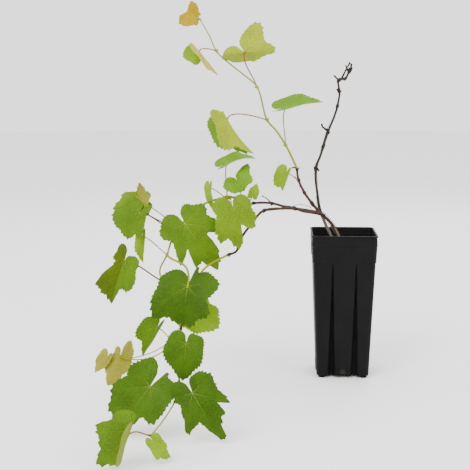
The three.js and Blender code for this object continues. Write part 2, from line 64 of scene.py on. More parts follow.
# Smooth unevenness of about -1 to 1: a sum of sine waves that run in random directions.
def unevenness(points, size, seed, waves=7):
    rng = np.random.default_rng(seed)
    points = np.asarray(points, float)
    total = np.zeros(points.shape[:-1])
    for step in range(waves):
        way = unit(rng.normal(size=3)) * (2 * math.pi / size) * (0.6 + 0.25 * step)
        total += np.sin(points @ way + rng.uniform(0, 6.28)) / (1 + 0.35 * step)
    return total / 2.6


class Look(dict):  # settings of a piece, read as look.name
    __getattr__ = dict.__getitem__


# A curve through points with even speed: centripetal Catmull-Rom pieces, then a length table.
class Route:
    def __init__(self, points, steps=40):
        points = np.asarray(points, float)
        ends = [2 * points[0] - points[1], *points, 2 * points[-1] - points[-2]]
        share = np.linspace(0, 1, steps, endpoint=False)[:, None]
        pieces = []
        for a, b, c, d in zip(ends, ends[1:], ends[2:], ends[3:]):
            before, here, after = (np.linalg.norm(q - p) ** 0.5 for p, q in ((a, b), (b, c), (c, d)))
            out = ((b - a) / before - (c - a) / (before + here) + (c - b) / here) * here
            into = ((c - b) / here - (d - b) / (here + after) + (d - c) / after) * here
            cubic = 2 * b - 2 * c + out + into
            square = -3 * b + 3 * c - 2 * out - into
            pieces.append(((cubic * share + square) * share + out) * share + b)
        self.setLine(np.vstack([*pieces, points[-1:]]))

    def setLine(self, line):
        self.line = line
        lengths = np.linalg.norm(np.diff(line, axis=0), axis=1)
        self.length = lengths.sum()
        self.shares = np.concatenate([[0], np.cumsum(lengths)]) / self.length

    def at(self, share):
        return np.stack([np.interp(share, self.shares, self.line[:, k]) for k in range(3)], -1)

    def way(self, share):
        step = self.at(np.clip(share + 0.004, 0, 1)) - self.at(np.clip(share - 0.004, 0, 1))
        return step / np.linalg.norm(step, axis=-1, keepdims=True)


class Bend(Route):  # one cubic Bezier piece, read in the same ways
    def __init__(self, a, b, c, d, steps=60):
        t = np.linspace(0, 1, steps)[:, None]
        s = 1 - t
        self.setLine(s**3 * a + 3 * s * s * t * b + 3 * s * t * t * c + t**3 * d)


# Faces of a grid of rows x columns whose columns may close on themselves.
def gridFaces(rows, columns, closed, start=0):
    row = np.arange(rows - 1)[:, None] * columns
    column = np.arange(columns if closed else columns - 1)[None, :]
    after = (column + 1) % columns
    faces = np.stack([row + column, row + after, row + columns + after, row + columns + column], -1)
    return faces.reshape(-1, 4) + start


def fan(centre, ring):  # triangles from one point to a closed ring
    ring = np.asarray(ring)
    return np.stack([np.full(len(ring), centre), np.roll(ring, -1), ring], -1)


# Adds a closed surface to a list of shapes: the rings of a grid joined in turn, and each end
# closed by a fan to its own point. flip turns the faces over.
def addRings(shapes, grid, ends, finish, flip=False):
    rows, around = grid.shape[:2]
    count = rows * around
    quads = gridFaces(rows, around, True)
    triangles = np.vstack([fan(count, np.arange(around)),
                           fan(count + 1, np.arange(count - around, count))[:, ::-1]])
    step = -1 if flip else 1
    shapes.append({"points": np.vstack([grid.reshape(-1, 3), *ends]), "finish": finish,
                   "quads": quads[:, ::step], "triangles": triangles[:, ::step]})


# A tube: point = route + radius * (cos a, sin a) in the ring's plane. radius is a function of
# the share of the length and of the angle a.
def addTube(shapes, route, radius, around, along, finish, span=(0, 1), soft=0.6):
    low, high = span
    share = np.linspace(low, high, along)
    reach = soft * float(np.mean(radius(share[[0, -1]][:, None], np.zeros((1, 1))))) / route.length
    share = np.concatenate([[low], [low + 0.35 * reach], share[1:-1], [high - 0.35 * reach], [high]])
    share = np.sort(np.clip(share, low, high))
    centre = route.at(share)
    way = route.way(share)
    side = np.zeros_like(centre)
    side[0] = unit(np.cross(way[0], [0.31, 0.2, 0.93] if abs(way[0][2]) < 0.9 else [1, 0, 0]))
    for k in range(1, len(share)):  # carried along without a twist
        side[k] = unit(side[k - 1] - way[k] * (side[k - 1] @ way[k]))
    other = np.cross(way, side)
    angle = np.linspace(0, 2 * math.pi, around, endpoint=False)
    size = radius(share[:, None], angle[None, :])
    ends = np.ones(len(share))
    ends[[0, -1]] = 0.7
    size = size * ends[:, None]
    ring = side[:, None] * np.cos(angle)[None, :, None] + other[:, None] * np.sin(angle)[None, :, None]
    if callable(finish):  # a finish that changes along the tube
        rings = finish((share[1:] + share[:-1]) / 2)
        finish = {"quads": np.repeat(rings, around), "triangles": np.repeat(rings[[0, -1]], around)}
    addRings(shapes, centre[:, None] + ring * size[..., None], [centre[:1], centre[-1:]], finish)


# A rounded lump: a ball of few faces, stretched along a way.
def addLump(shapes, centre, way, long, wide, finish, around=8, rows=5, rough=0.0, seed=1):
    way = unit(way)
    side = unit(np.cross(way, [0.3, 0.9, 0.2]))
    other = np.cross(way, side)
    height = np.linspace(0, math.pi, rows + 2)[1:-1][:, None]
    angle = np.linspace(0, 2 * math.pi, around, endpoint=False)[None, :]
    flat = np.sin(height) * wide
    shape = (way * (-np.cos(height) * long)[..., None] + side * (flat * np.cos(angle))[..., None]
             + other * (flat * np.sin(angle))[..., None]).reshape(-1, 3)
    points = np.vstack([shape, way * -long, way * long])
    if rough:
        points = points * (1 + rough * unevenness(points, wide * 2.2, seed))[:, None]
    points = points + centre
    addRings(shapes, points[:-2].reshape(rows, around, 3), [points[-2:]], finish)


# Joins a list of shapes into one mesh, each face with the number of its material.
def joinMesh(name, shapes):
    points, loops, sizes, kinds, start = [], [], [], [], 0
    for shape in shapes:
        points.append(shape["points"])
        for key in ("quads", "triangles"):
            faces = shape.get(key)
            if faces is None or len(faces) == 0:
                continue
            loops.append((faces + start).ravel())
            sizes.append(np.full(len(faces), faces.shape[1]))
            finish = shape["finish"]
            kinds.append(finish[key] if isinstance(finish, dict) else np.full(len(faces), finish))
        start += len(shape["points"])
    points, loops = np.vstack(points) * mm, np.concatenate(loops)
    sizes, kinds = np.concatenate(sizes), np.concatenate(kinds)
    mesh = bpy.data.meshes.new(name)
    mesh.vertices.add(len(points))
    mesh.vertices.foreach_set("co", points.astype(np.float32).ravel())
    mesh.loops.add(len(loops))
    mesh.loops.foreach_set("vertex_index", loops.astype(np.int32))
    mesh.polygons.add(len(sizes))
    starts = np.concatenate([[0], np.cumsum(sizes)[:-1]]).astype(np.int32)
    mesh.polygons.foreach_set("loop_start", starts)
    mesh.polygons.foreach_set("material_index", kinds.astype(np.int32))
    mesh.update(calc_edges=True)
    mesh.validate()
    return mesh


def addObject(name, data):
    item = bpy.data.objects.new(name, data)
    bpy.context.scene.collection.objects.link(item)
    return item


# One visible piece, in the place of the solids that it replaces. crease is in degrees.
def makePiece(name, shapes, materials, replaced, crease=50):
    mesh = joinMesh(name, shapes)
    mesh.shade_smooth()
    mesh.set_sharp_from_angle(angle=math.radians(crease))
    for material in materials:
        mesh.materials.append(material)
    piece = addObject(name, mesh)
    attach(piece, "root")
    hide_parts(*replaced)
    print(name, len(mesh.polygons), "faces")
    return piece


# A shader group whose inputs and outputs are given as label: kind, and their sockets.
def newGroup(name, inputs, outputs):
    group = bpy.data.node_groups.new(name, "ShaderNodeTree")
    for way, sockets in (("INPUT", inputs), ("OUTPUT", outputs)):
        for label, kind in sockets.items():
            group.interface.new_socket(label, in_out=way, socket_type="NodeSocket" + kind)
    entry = group.nodes.new("NodeGroupInput")
    leave = group.nodes.new("NodeGroupOutput")
    return group, entry.outputs, leave.inputs


def setInput(tree, socket, value):  # to a plain value, or to what another node puts out
    if isinstance(value, bpy.types.NodeSocket):
        tree.links.new(value, socket)
    else:
        socket.default_value = value


def addNode(tree, kind, settings=(), **values):  # inputs by name, with _ for a space
    node = tree.nodes.new("ShaderNode" + kind)
    for key, value in settings:
        setattr(node, key, value)
    for key, value in values.items():
        setInput(tree, node.inputs[key.replace("_", " ")], value)
    return node


def mixTints(tree, share, first, second):  # the first where share is 0, the second where it is 1
    mix = addNode(tree, "Mix", [("data_type", "RGBA")], Factor=share)
    setInput(tree, mix.inputs[6], first)
    setInput(tree, mix.inputs[7], second)
    return mix.outputs[2]


def mapRange(tree, value, **ends):
    return addNode(tree, "MapRange", Value=value, **ends).outputs["Result"]


def mathNode(tree, operation, *values):
    node = addNode(tree, "Math", [("operation", operation)])
    for socket, value in zip(node.inputs, values):
        setInput(tree, socket, value)
    return node.outputs["Value"]


# Mottle: two noises of falling size move a colour between a deep, a main and a light tint.
def makeMottleGroup():
    group, given, out = newGroup(
        "mottledTint",
        {"Place": "Vector", "Deep": "Color", "Main": "Color", "Light": "Color", "Patch Scale": "Float",
         "Grain Scale": "Float"},
        {"Color": "Color", "Grain": "Float"},
    )
    patches = addNode(group, "TexNoise", Vector=given["Place"], Scale=given["Patch Scale"],
                      Detail=3.0, Roughness=0.6).outputs["Fac"]
    grain = addNode(group, "TexNoise", Vector=given["Place"], Scale=given["Grain Scale"],
                    Detail=2.0, Roughness=0.55).outputs["Fac"]
    spread = mapRange(group, patches, From_Min=0.35, From_Max=0.65)
    tint = mixTints(group, spread, given["Deep"], given["Main"])
    fine = mapRange(group, grain, From_Min=0.45, From_Max=0.75, To_Max=0.7)
    setInput(group, out["Color"], mixTints(group, fine, tint, given["Light"]))
    setInput(group, out["Grain"], grain)
    return group


# Fine relief: two noises added to a height for a Bump node.
def makeReliefGroup():
    group, given, out = newGroup(
        "fineRelief",
        {"Place": "Vector", "Coarse Scale": "Float", "Fine Scale": "Float", "Strength": "Float",
         "Distance": "Float"},
        {"Normal": "Vector"},
    )
    coarse, fine = (addNode(group, "TexNoise", Vector=given["Place"], Scale=given[key], Detail=detail)
                    for key, detail in (("Coarse Scale", 2.0), ("Fine Scale", 3.0)))
    total = mathNode(group, "MULTIPLY_ADD", fine.outputs["Fac"], 0.4, coarse.outputs["Fac"])
    bump = addNode(group, "Bump", Strength=given["Strength"], Distance=given["Distance"], Height=total)
    setInput(group, out["Normal"], bump.outputs["Normal"])
    return group


# Net of the finest veins: the edges of small cells, as a mask and as relief.
def makeNetGroup():
    group, given, out = newGroup(
        "veinNet",
        {"Place": "Vector", "Strength": "Float", "Normal": "Vector"},
        {"Net": "Float", "Normal": "Vector"},
    )
    cells = addNode(group, "TexVoronoi", [("feature", "DISTANCE_TO_EDGE")], Vector=given["Place"],
                    Scale=330.0)
    edge = mapRange(group, cells.outputs["Distance"], From_Max=0.14, To_Min=1.0, To_Max=0.0)
    bump = addNode(group, "Bump", [("invert", True)], Distance=0.0003, Strength=given["Strength"],
                   Height=edge, Normal=given["Normal"])
    setInput(group, out["Net"], edge)
    setInput(group, out["Normal"], bump.outputs["Normal"])
    return group


mottledTint = makeMottleGroup()
fineRelief = makeReliefGroup()
veinNet = makeNetGroup()


# A material: base colour mottled round one tint, roughness that follows the grain, fine relief,
# and a net of finer veins where net is above zero. relief is coarse and fine scale, strength and
# distance; deep is how far the patches darken, where it isn't the spread.
def makeFinish(name, code, spread, roughness, patchScale, grainScale, relief, net=0.0, deep=None, **fixed):
    material = bpy.data.materials.new(name)
    material.use_nodes = True
    tree = material.node_tree
    place = addNode(tree, "TexCoord").outputs["Object"]
    tint = addNode(tree, "Group", [("node_tree", mottledTint)], Place=place, Main=paint(code),
                   Deep=paint(code, 1 / (deep or spread)), Light=paint(code, spread),
                   Patch_Scale=patchScale, Grain_Scale=grainScale)
    coarse, fine, strength, distance = relief
    color = tint.outputs["Color"]
    normal = addNode(tree, "Group", [("node_tree", fineRelief)], Place=place, Coarse_Scale=coarse,
                     Fine_Scale=fine, Strength=strength, Distance=distance).outputs["Normal"]
    if net:
        mesh = addNode(tree, "Group", [("node_tree", veinNet)], Place=place, Strength=0.25, Normal=normal)
        normal = mesh.outputs["Normal"]
        share = mathNode(tree, "MULTIPLY", mesh.outputs["Net"], net)
        color = mixTints(tree, share, color, paint(code, spread * 1.5))
    gloss = mapRange(tree, tint.outputs["Grain"], To_Min=roughness[0], To_Max=roughness[1],
                     From_Min=0.3, From_Max=0.7)
    shader = tree.nodes["Principled BSDF"]
    for key, value in {"Base_Color": color, "Roughness": gloss, "Normal": normal, **fixed}.items():
        setInput(tree, shader.inputs[key.replace("_", " ")], value)
    return material


# Half-widths from the middle, heights from the table, and the steps of the rim's profile.
potLook = Look(
    height=200, rimHalf=45, bandHalf=44.2, neckHalf=43.4, footHalf=36,
    draw=0.5, wall=1.6, collar=15, lip=3, step=0.8, footRise=3, corner=7,
    fluteOffset=16, fluteTop=162, fluteHalf=6.8, fluteDepth=7.5, fluteValley=0.1,
    blockHalf=11, blockOut=0.7, blockTop=21,
    holeHalf=4.5, holeTop=14, roundHole=5, roundHoleAt=17, footRadius=4.5, padHalf=9,
    fluteStart=1.1, fluteSpread=1.2, fluteGrowth=0.45, fluteRound=0.09, fluteInside=0.7,
    cornerBand=0.9, bandFoot=162.5, innerStep=190.5, sideSteps=96, cornerSteps=9,
    plainRows=(14, 160, 30), bandRows=(161.3, 162, 162.6, 163.4, 172), innerRows=12,
)
quarterTurns = [(1, 0), (0, 1), (-1, 0), (0, -1)]  # cosine and sine of each side's turn


def potHalf(z):
    top = potLook.height - potLook.collar
    share = (z - potLook.footRise) / (top - potLook.footRise)
    return potLook.footHalf + (potLook.neckHalf - potLook.footHalf) * share


# Depth of the two flutes of a side: a rounded V whose width and depth grow towards the foot.
def fluteDepth(along, z, inset):
    share = np.clip((potLook.fluteTop - z) / (potLook.fluteTop - potLook.footRise), 0, 1)
    start, wider = potLook.fluteStart, potLook.fluteHalf - potLook.fluteStart
    half = start + wider * share ** potLook.fluteSpread
    half = half + potLook.fluteInside * inset * np.minimum(1, 4 * share)
    valley = potLook.fluteOffset - potLook.fluteValley * half
    out = np.abs(along)
    inner = (out - (potLook.fluteOffset - half)) / (valley - potLook.fluteOffset + half)
    outer = (potLook.fluteOffset + half - out) / (potLook.fluteOffset + half - valley)
    rise = np.clip(np.minimum(inner, outer), 0, 1)
    soft = rise - potLook.fluteRound * np.sin(2 * math.pi * rise)
    return potLook.fluteDepth * share ** potLook.fluteGrowth * soft


# A square ring with round corners at each level: [height, share out from the middle, grow, inset].
def potRings(levels, sideSteps, cornerSteps):
    levels = np.asarray(levels, float)
    z, share, grow, inset = (levels[:, k:k + 1] for k in range(4))
    half = potHalf(z) + grow - inset
    radius = np.maximum(potLook.corner - inset, 1)
    place = np.linspace(-1, 1, sideSteps)[None, :]
    along = place * (half - radius)
    band = potLook.cornerBand * ease(potLook.bandFoot - 0.6, potLook.bandFoot + 0.3, z)
    band = band * ease(potLook.height - potLook.collar + 2, potLook.height - potLook.collar, z)
    out = half - fluteDepth(along, z, inset) + band * ease(0.72, 0.8, np.abs(place)) * (inset == 0)
    turn = np.linspace(0, math.pi / 2, cornerSteps + 1)[None, 1:-1]
    along = np.hstack([along, half - radius + radius * np.sin(turn) + band * np.sin(turn) * (inset == 0)])
    out = np.hstack([out, half - radius + radius * np.cos(turn) + band * np.cos(turn) * (inset == 0)])
    sides = [np.stack([out * cos - along * sin, out * sin + along * cos], -1) for cos, sin in quarterTurns]
    flat = np.concatenate(sides, 1) * share[..., None]
    return np.concatenate([flat, np.repeat(z[:, None], flat.shape[1], 1)], -1)


def rounded(start, corner, end, size, steps=4):  # levels round one corner of the profile
    start, corner, end = (np.asarray(p, float) for p in (start, corner, end))
    flat = [0, 2, 3]
    backs = size / max(np.linalg.norm((start - corner)[flat]), 1e-6)
    fronts = size / max(np.linalg.norm((end - corner)[flat]), 1e-6)
    a, b = corner + (start - corner) * min(backs, 0.5), corner + (end - corner) * min(fronts, 0.5)
    t = np.linspace(0, 1, steps)[:, None]
    return (1 - t) ** 2 * a + 2 * t * (1 - t) * corner + t * t * b


# The drain blocks: a shallow raised panel round the slot at the foot of each side.
def raiseBlocks(points):
    x, y, z = points.T
    near = (z < potLook.blockTop + 2) & (z > 4) & (np.hypot(x, y) > 30)
    for axis, other in ((0, 1), (1, 0)):
        flat, aside = np.abs(points[:, axis]), np.abs(points[:, other])
        on = near & (flat > aside) & (flat > potHalf(z) - 0.3)
        raised = ease(potLook.blockHalf + 0.6, potLook.blockHalf, aside)
        raised *= 1 - ease(potLook.blockTop, potLook.blockTop + 1, z)
        points[:, axis] += np.sign(points[:, axis]) * np.where(on, raised * potLook.blockOut, 0)


# The shell from the corners of its profile, up the outside and down the inside. Each is a level of
# potRings and, last, how far its corner is rounded.
def makePotShell():
    top, wall, step = potLook.height, potLook.wall, potLook.step
    base, lip = top - potLook.collar, top - potLook.lip
    band = potLook.bandHalf - potLook.neckHalf
    bandTop = band - potLook.draw
    rim = potLook.rimHalf - potLook.neckHalf - potLook.draw
    foot = potLook.footRise
    corners = [
        [foot, 0.94, 0, 0, 0], [foot, 1, 0, 0, 1.2],
        *[[z, 1, 0, 0, 0] for z in (*np.linspace(*potLook.plainRows), *potLook.bandRows, base - 3)],
        [base, 1, 0, 0, 0.3], [base + step, 1, band, 0, 0.4], [lip, 1, bandTop, 0, 0.3],
        [lip + step, 1, rim, 0, 0.4], [top, 1, rim, 0, 0.7], [top, 1, bandTop, wall, 0.5],
        [potLook.innerStep + step, 1, bandTop, wall, 0.3], [potLook.innerStep, 1, 0, wall, 0.3],
        *[[z, 1, 0, wall, 0] for z in np.linspace(base - 4, potLook.plainRows[0], potLook.innerRows)],
        [foot + wall, 1, 0, wall, 0.8], [foot + wall, 0.9, 0, wall, 0],
    ]
    levels = []
    for k, corner in enumerate(corners):
        if corner[4] and 0 < k < len(corners) - 1:
            levels.extend(rounded(corners[k - 1][:4], corner[:4], corners[k + 1][:4], corner[4]))
        else:
            levels.append(np.asarray(corner[:4], float))
    grid = potRings(levels, potLook.sideSteps, potLook.cornerSteps)
    points = np.vstack([grid.reshape(-1, 3), [[0, 0, foot]], [[0, 0, foot + wall]]])
    raiseBlocks(points)
    shapes = []
    addRings(shapes, points[:-2].reshape(grid.shape), [points[-2:]], 0)
    return shapes


# A short peg from heights and half-widths. Its outline is |x|^n + |y|^n = 1: round for a power
# n of 2, squarer above it.
def addPeg(shapes, x, y, profile, around, power=2):
    angle = (np.arange(around) + 0.5) * 2 * math.pi / around
    shape = 1 / (np.abs(np.cos(angle)) ** power + np.abs(np.sin(angle)) ** power) ** (1 / power)
    rows = [np.stack([x + r * shape * np.cos(angle), y + r * shape * np.sin(angle), np.full(around, z)], -1)
            for z, r in profile]
    addRings(shapes, np.stack(rows), [[[x, y, profile[0][0]]], [[x, y, profile[-1][0]]]], 0)


potPlastic = makeFinish(
    "charcoalPlastic", 0x121111, 1.3, (0.4, 0.55), 30, 900,
    (120, 2600, 0.22, 0.0003), Specular_IOR_Level=0.06)


# Boxes for the slots at the foot of the sides, and pegs for the round holes in the floor.
def drainCutters():
    foot, wall = potLook.footRise, potLook.wall
    low, high = foot - 0.3, potLook.holeTop
    depth, width, reach = 6, 2 * potLook.holeHalf, potLook.roundHoleAt
    corners = np.array([[a, b, c] for a in (-0.5, 0.5) for b in (-0.5, 0.5) for c in (0, 1)])
    quads = np.array([[0, 1, 3, 2], [4, 6, 7, 5], [0, 4, 5, 1], [2, 3, 7, 6], [0, 2, 6, 4], [1, 5, 7, 3]])
    hole = [(foot - 1, potLook.roundHole), (foot + wall + 1, potLook.roundHole)]
    cutters = []
    for cos, sin in quarterTurns:
        size = [depth, width, high - low] if cos else [width, depth, high - low]
        middle = [potHalf(low) * cos, potHalf(low) * sin, low]
        cutters.append({"points": corners * size + middle, "quads": quads, "finish": 0})
        addPeg(cutters, reach * cos, reach * sin, hole, 32)
    mesh = joinMesh("drainCutters", cutters)
    mesh.shade_flat()  # the faces that it cuts are flat too
    return addObject("drainCutters", mesh)


def carve(piece, cutter):  # takes the cutter's shape out of the piece, and removes the cutter
    cut = piece.modifiers.new("drains", "BOOLEAN")
    cut.operation, cut.solver, cut.object = "DIFFERENCE", "EXACT", cutter
    seen = piece.evaluated_get(bpy.context.evaluated_depsgraph_get())
    carved = bpy.data.meshes.new_from_object(seen)
    piece.modifiers.clear()
    piece.data = carved
    carved.name = piece.name
    bpy.data.objects.remove(cutter)


def makeFeet():
    feet, place, top = [], potLook.footHalf - potLook.corner, potLook.footRise + 0.4

    def profile(half):  # rounded at the table, and sunk a little into the floor of the pot
        return [(0, half - 0.7), (0.2, half - 0.2), (0.7, half), (top, half)]

    for x in (-place, place):
        for y in (-place, place):
            addPeg(feet, x, y, profile(potLook.footRadius), 28)
    addPeg(feet, 0, 0, profile(potLook.padHalf), 48, power=12)
    makePiece("potFeet", feet, [potPlastic], ["pot"], crease=40)


carve(makePiece("potShell", makePotShell(), [potPlastic], ["pot"], crease=40),
      drainCutters())
makeFeet()
print("pot done")

mixLook = Look(top=175, gap=0.8, sag=2, bottom=5.1, crumbs=420, rings=40,
              lumps=((0.9, 14, 3), (0.45, 5, 4)))  # height, size and seed of each


def makeMix():
    clear = potLook.wall + mixLook.gap
    share = np.linspace(0.025, 1, mixLook.rings)
    levels = [[mixLook.bottom, s, 0, clear] for s in (0.5, 1)]
    levels += [[z, 1, 0, clear] for z in (20, 50, 80, 110, 140, 155, 165)]
    levels += [[mixLook.top - mixLook.sag * ease(0.75, 1, s), s, 0, clear] for s in share[::-1]]
    grid = potRings(levels, 30, 4)
    first = len(levels) - len(share)
    top = grid[first:]
    flatPlace = np.concatenate([top[..., :2], np.zeros(top.shape[:2] + (1,))], -1)
    lumps = sum(height * unevenness(flatPlace, size, seed) for height, size, seed in mixLook.lumps)
    grid[first:, :, 2] += lumps * ease(1.0, 0.94, share[::-1])[:, None] - 0.3
    shapes = []
    ends = [[[0, 0, mixLook.bottom]], [[0, 0, float(grid[-1, :, 2].mean())]]]
    addRings(shapes, grid, ends, 0)
    half = potHalf(mixLook.top) - clear - 3
    for k in range(mixLook.crumbs):
        x, y = dice.uniform(-half, half, 2)
        size = dice.uniform(0.5, 1.9)
        way = dice.normal(size=3) * [1, 1, 0.3]
        centre = np.array([x, y, mixLook.top - 0.4 + 0.2 * size])
        addLump(shapes, centre, way, size * dice.uniform(1, 2.2), size, int(dice.integers(0, 3)),
                around=6, rows=3, rough=0.35, seed=k)
    peat = makeFinish("moistPeat", 0x1c150f, 1.8, (0.8, 1.0), 180, 1400, (500, 2400, 0.7, 0.0006))
    barkCrumb = makeFinish("barkCrumb", 0x3c2717, 1.7, (0.75, 0.95), 300, 1800, (700, 2800, 0.5, 0.0004))
    paleCrumb = makeFinish("dryCrumb", 0x594735, 1.6, (0.8, 1.0), 300, 1800, (700, 2800, 0.5, 0.0004))
    makePiece("pottingMix", shapes, [peat, barkCrumb, paleCrumb], ["potting_mix"])


makeMix()
print("potting mix done")


# Relief of bark, in shares of the radius: ridges that run along the stem and wander slowly,
# sharpened towards their crests, with cross rings and small swellings over them.
def barkRelief(length, seed, ridges, depth):
    rng = np.random.default_rng(seed)
    wander = 30  # millimetres over which the ridges drift
    phases = rng.uniform(0, 6.28, (len(ridges), 3))

    def relief(share, angle):
        s = share * length
        total = 0
        for count, (a, b, c) in zip(ridges, phases):
            drift = 1.3 * np.sin(s / wander * 2.1 + b) + 0.6 * np.sin(s / wander * 5.3 + c)
            total = total + (1 - 2 * np.abs(np.sin(0.5 * count * angle + a + drift))) / len(ridges)
        rings = 0.25 * np.sin(s * 2.9 + 2 * np.sin(angle + phases[0, 0]) + 3 * np.sin(s / 7 + phases[1, 0]))
        lumps = 0.5 * np.sin(s / 4.7 + phases[2, 0]) * np.sin(angle + s / 9)
        return depth * (total + rings + lumps)

    return relief


def stubRadius(wide, narrow, relief):  # tapering, with a small swelling before the end
    def radius(share, angle):
        swelling = 0.45 * narrow * np.exp(-(((share - 0.93) / 0.09) ** 2))
        return (wide + (narrow - wide) * share + swelling) * (1 + relief(share, angle))

    return radius


# What a limb has unless its look says otherwise. knotWidth and pitch are in millimetres.
limbHabit = {"ridges": (5, 8, 11), "depth": 0.07, "knots": [], "knotWidth": 2.4, "swell": 0.42,
             "flare": 0, "flareReach": 7, "pitch": 0.7, "around": 40, "stubs": [], "knotFinish": 0,
             "paleUntil": 0, "paleFinish": 0}


# A woody limb: tapering radius x (1 + relief), swollen at its knots, with its stubs: points,
# first and last radius, and finish of each.
def addLimb(shapes, look, seed):
    look = Look(limbHabit, **look)
    route = Route(look.points)
    relief = barkRelief(route.length, seed, look.ridges, look.depth)
    first, last = look.radii
    knotWidth = look.knotWidth / route.length

    def radius(share, angle):
        base = first + (last - first) * share
        for n, knot in enumerate(look.knots):
            side = 1 + 0.35 * np.cos(angle - 2.1 * n)
            near = np.exp(-(((share - knot) / knotWidth) ** 2))
            base = base * (1 + look.swell * side * near)
        flare = look.flare * np.exp(-share * route.length / look.flareReach)
        return base * (1 + relief(share, angle)) * (1 + flare)

    def limbFinish(share):  # the dark wood of the knots, and an old pale foot
        near = np.zeros(len(share), bool)
        for knot in look.knots:
            near |= np.abs(share - knot) < 0.75 * knotWidth
        return np.where(near, look.knotFinish, np.where(share < look.paleUntil, look.paleFinish, 0))

    steps = int(route.length / look.pitch)
    addTube(shapes, route, radius, look.around, steps, limbFinish)
    for k, (points, wide, narrow, finish) in enumerate(look.stubs):
        branch = Route(points)
        small = barkRelief(branch.length, seed + 40 + k, (4, 7, 9), 0.08)
        steps = max(10, int(branch.length / 0.6))
        addTube(shapes, branch, stubRadius(wide, narrow, small), 24, steps, finish)
    return route


# A loose strip of old bark: a thin ribbon that follows the limb and lifts off at one end.
def addPeel(shapes, route, span, turn, width, radius, lift, finish):
    rows, columns, thickness = 26, 5, 0.22
    share = np.linspace(*span, rows)
    centre, way = route.at(share), route.way(share)
    side = np.cross(way, unit([0.2, 0.3, 1]))
    side /= np.linalg.norm(side, axis=1, keepdims=True)
    other = np.cross(way, side)
    place = np.linspace(0, 1, rows)[:, None]
    across = np.linspace(-1, 1, columns)[None, :]
    half = width * (0.35 + 0.65 * np.sin(math.pi * np.clip(place + 0.08, 0, 1))) / 2
    angle = turn + 0.5 * place + across * half / radius
    far = radius * 1.03 + lift * place**3 + 0.25 * np.abs(across)
    layers = []
    for depth in (0.0, thickness):
        r = far + depth
        layers.append(centre[:, None] + side[:, None] * (r * np.cos(angle))[..., None]
                      + other[:, None] * (r * np.sin(angle))[..., None])
    inner, outer = (layer.reshape(-1, 3) for layer in layers)
    count = len(inner)
    edge = np.concatenate([np.arange(columns), columns * np.arange(2, rows + 1) - 1,
                           count - 2 - np.arange(columns - 1), columns * np.arange(rows - 2, 0, -1)])
    after = np.roll(edge, -1)
    faces = gridFaces(rows, columns, False)
    shapes.append({
        "points": np.vstack([inner, outer]), "finish": finish,
        "quads": np.vstack([faces, faces[:, ::-1] + count,
                            np.stack([edge, edge + count, after + count, after], -1)]),
    })


# The peels and walls above can be wound either way, so shells are turned to face out.
def turnOut(piece):
    mesh = piece.data
    work = bmesh.new()
    work.from_mesh(mesh)
    bmesh.ops.recalc_face_normals(work, faces=work.faces)
    work.to_mesh(mesh)
    work.free()


trunkLook = Look(
    points=[[2, 3, 170], [1, 2, 178], [-10, 0, 201], [-20, -2, 215], [-32, -4, 226], [-44, -2, 239]],
    radii=[2.5, 2.1], knots=[0.77, 0.985], flare=0.2, depth=0.1, pitch=0.5, around=56,
    knotFinish=2, peel=(2.75, 0.9),
    peels=[((0.3, 0.62), 0.4, 2.2), ((0.2, 0.5), 2.4, 1.8), ((0.45, 0.75), 4.3, 1.6),
           ((0.62, 0.95), 5.6, 1.5), ((0.12, 0.34), 5.2, 1.5)],
    forkBuds=[(0.77, 0.5), (0.985, 2)],
)
bareCaneLook = Look(
    points=[[-9, 8, 170], [-12, 8, 182], [-31, 8, 225], [-36, 8, 250], [-39, 8, 287],
            [-33, 8, 304], [-22, 9, 339], [-13, 9, 362], [-9.5, 10, 376], [-7.6, 10, 391],
            [-9, 10, 400], [-9.8, 10, 407], [-7.5, 10.5, 409.5], [-1.5, 11, 409], [0.8, 11, 410.5],
            [4.5, 11, 418], [7, 11, 423.5], [8.4, 11, 430.3]],
    radii=[2.1, 1.35], knots=[0.433, 0.545, 0.62, 0.755, 0.829, 0.881, 0.919, 0.959],
    flare=0.2, depth=0.08, swell=0.6, knotFinish=1, paleUntil=0.2, paleFinish=2,
    budSize=1.5, budWays=([1.4, -0.6, 0.3], [1, -0.3, 0.7]), turnedPart=0,
    buds=[(0.437, -1), (0.55, 1), (0.825, 1), (0.885, -1)],
    peel=(1.95, 0.5), peels=[((0.12, 0.3), 1, 1.6), ((0.33, 0.47), 3, 1.6), ((0.52, 0.66), 5, 1.6)],
    stubs=[
        ([[-22.3, 9, 337], [-25.5, 8, 340.4], [-30.6, 8, 344.4], [-31.4, 8, 348.4]], 1.7, 1, 1),
        ([[-22.5, 8, 337.5], [-23.6, 7.5, 339.6], [-24.4, 7.5, 342.4]], 1.2, 0.7, 1),
        ([[-5, 11, 410], [-1.5, 10, 417], [1.8, 9.5, 424], [4.5, 10, 428.5], [6, 10, 432]], 1.4, 1, 0),
        ([[1.5, 9.5, 423], [0.9, 9.5, 426], [0.2, 9.5, 428.3]], 1, 0.8, 0),
        ([[1.3, 9.8, 423], [4, 10.5, 421.4], [7, 11, 423]], 1.8, 1.9, 1),
        ([[3.4, 11, 416.5], [6, 11, 418.6], [8, 11, 422.4], [8.3, 11, 425]], 1.9, 1.5, 0),
        ([[-9.3, 10, 406], [-4, 10.5, 409.6], [0.6, 11, 408.9]], 1.9, 1.7, 0),
        ([[-9, 10, 408], [-12, 10, 410.5], [-15.3, 9, 414]], 1.4, 1.1, 0),
        ([[-7.4, 10, 390], [-9.6, 9.4, 393], [-11.2, 9, 396]], 1.8, 1.2, 1),
        ([[-38.6, 8, 288], [-36.2, 7, 286.4], [-34.6, 6, 283]], 1.4, 1.1, 1),
    ],
)
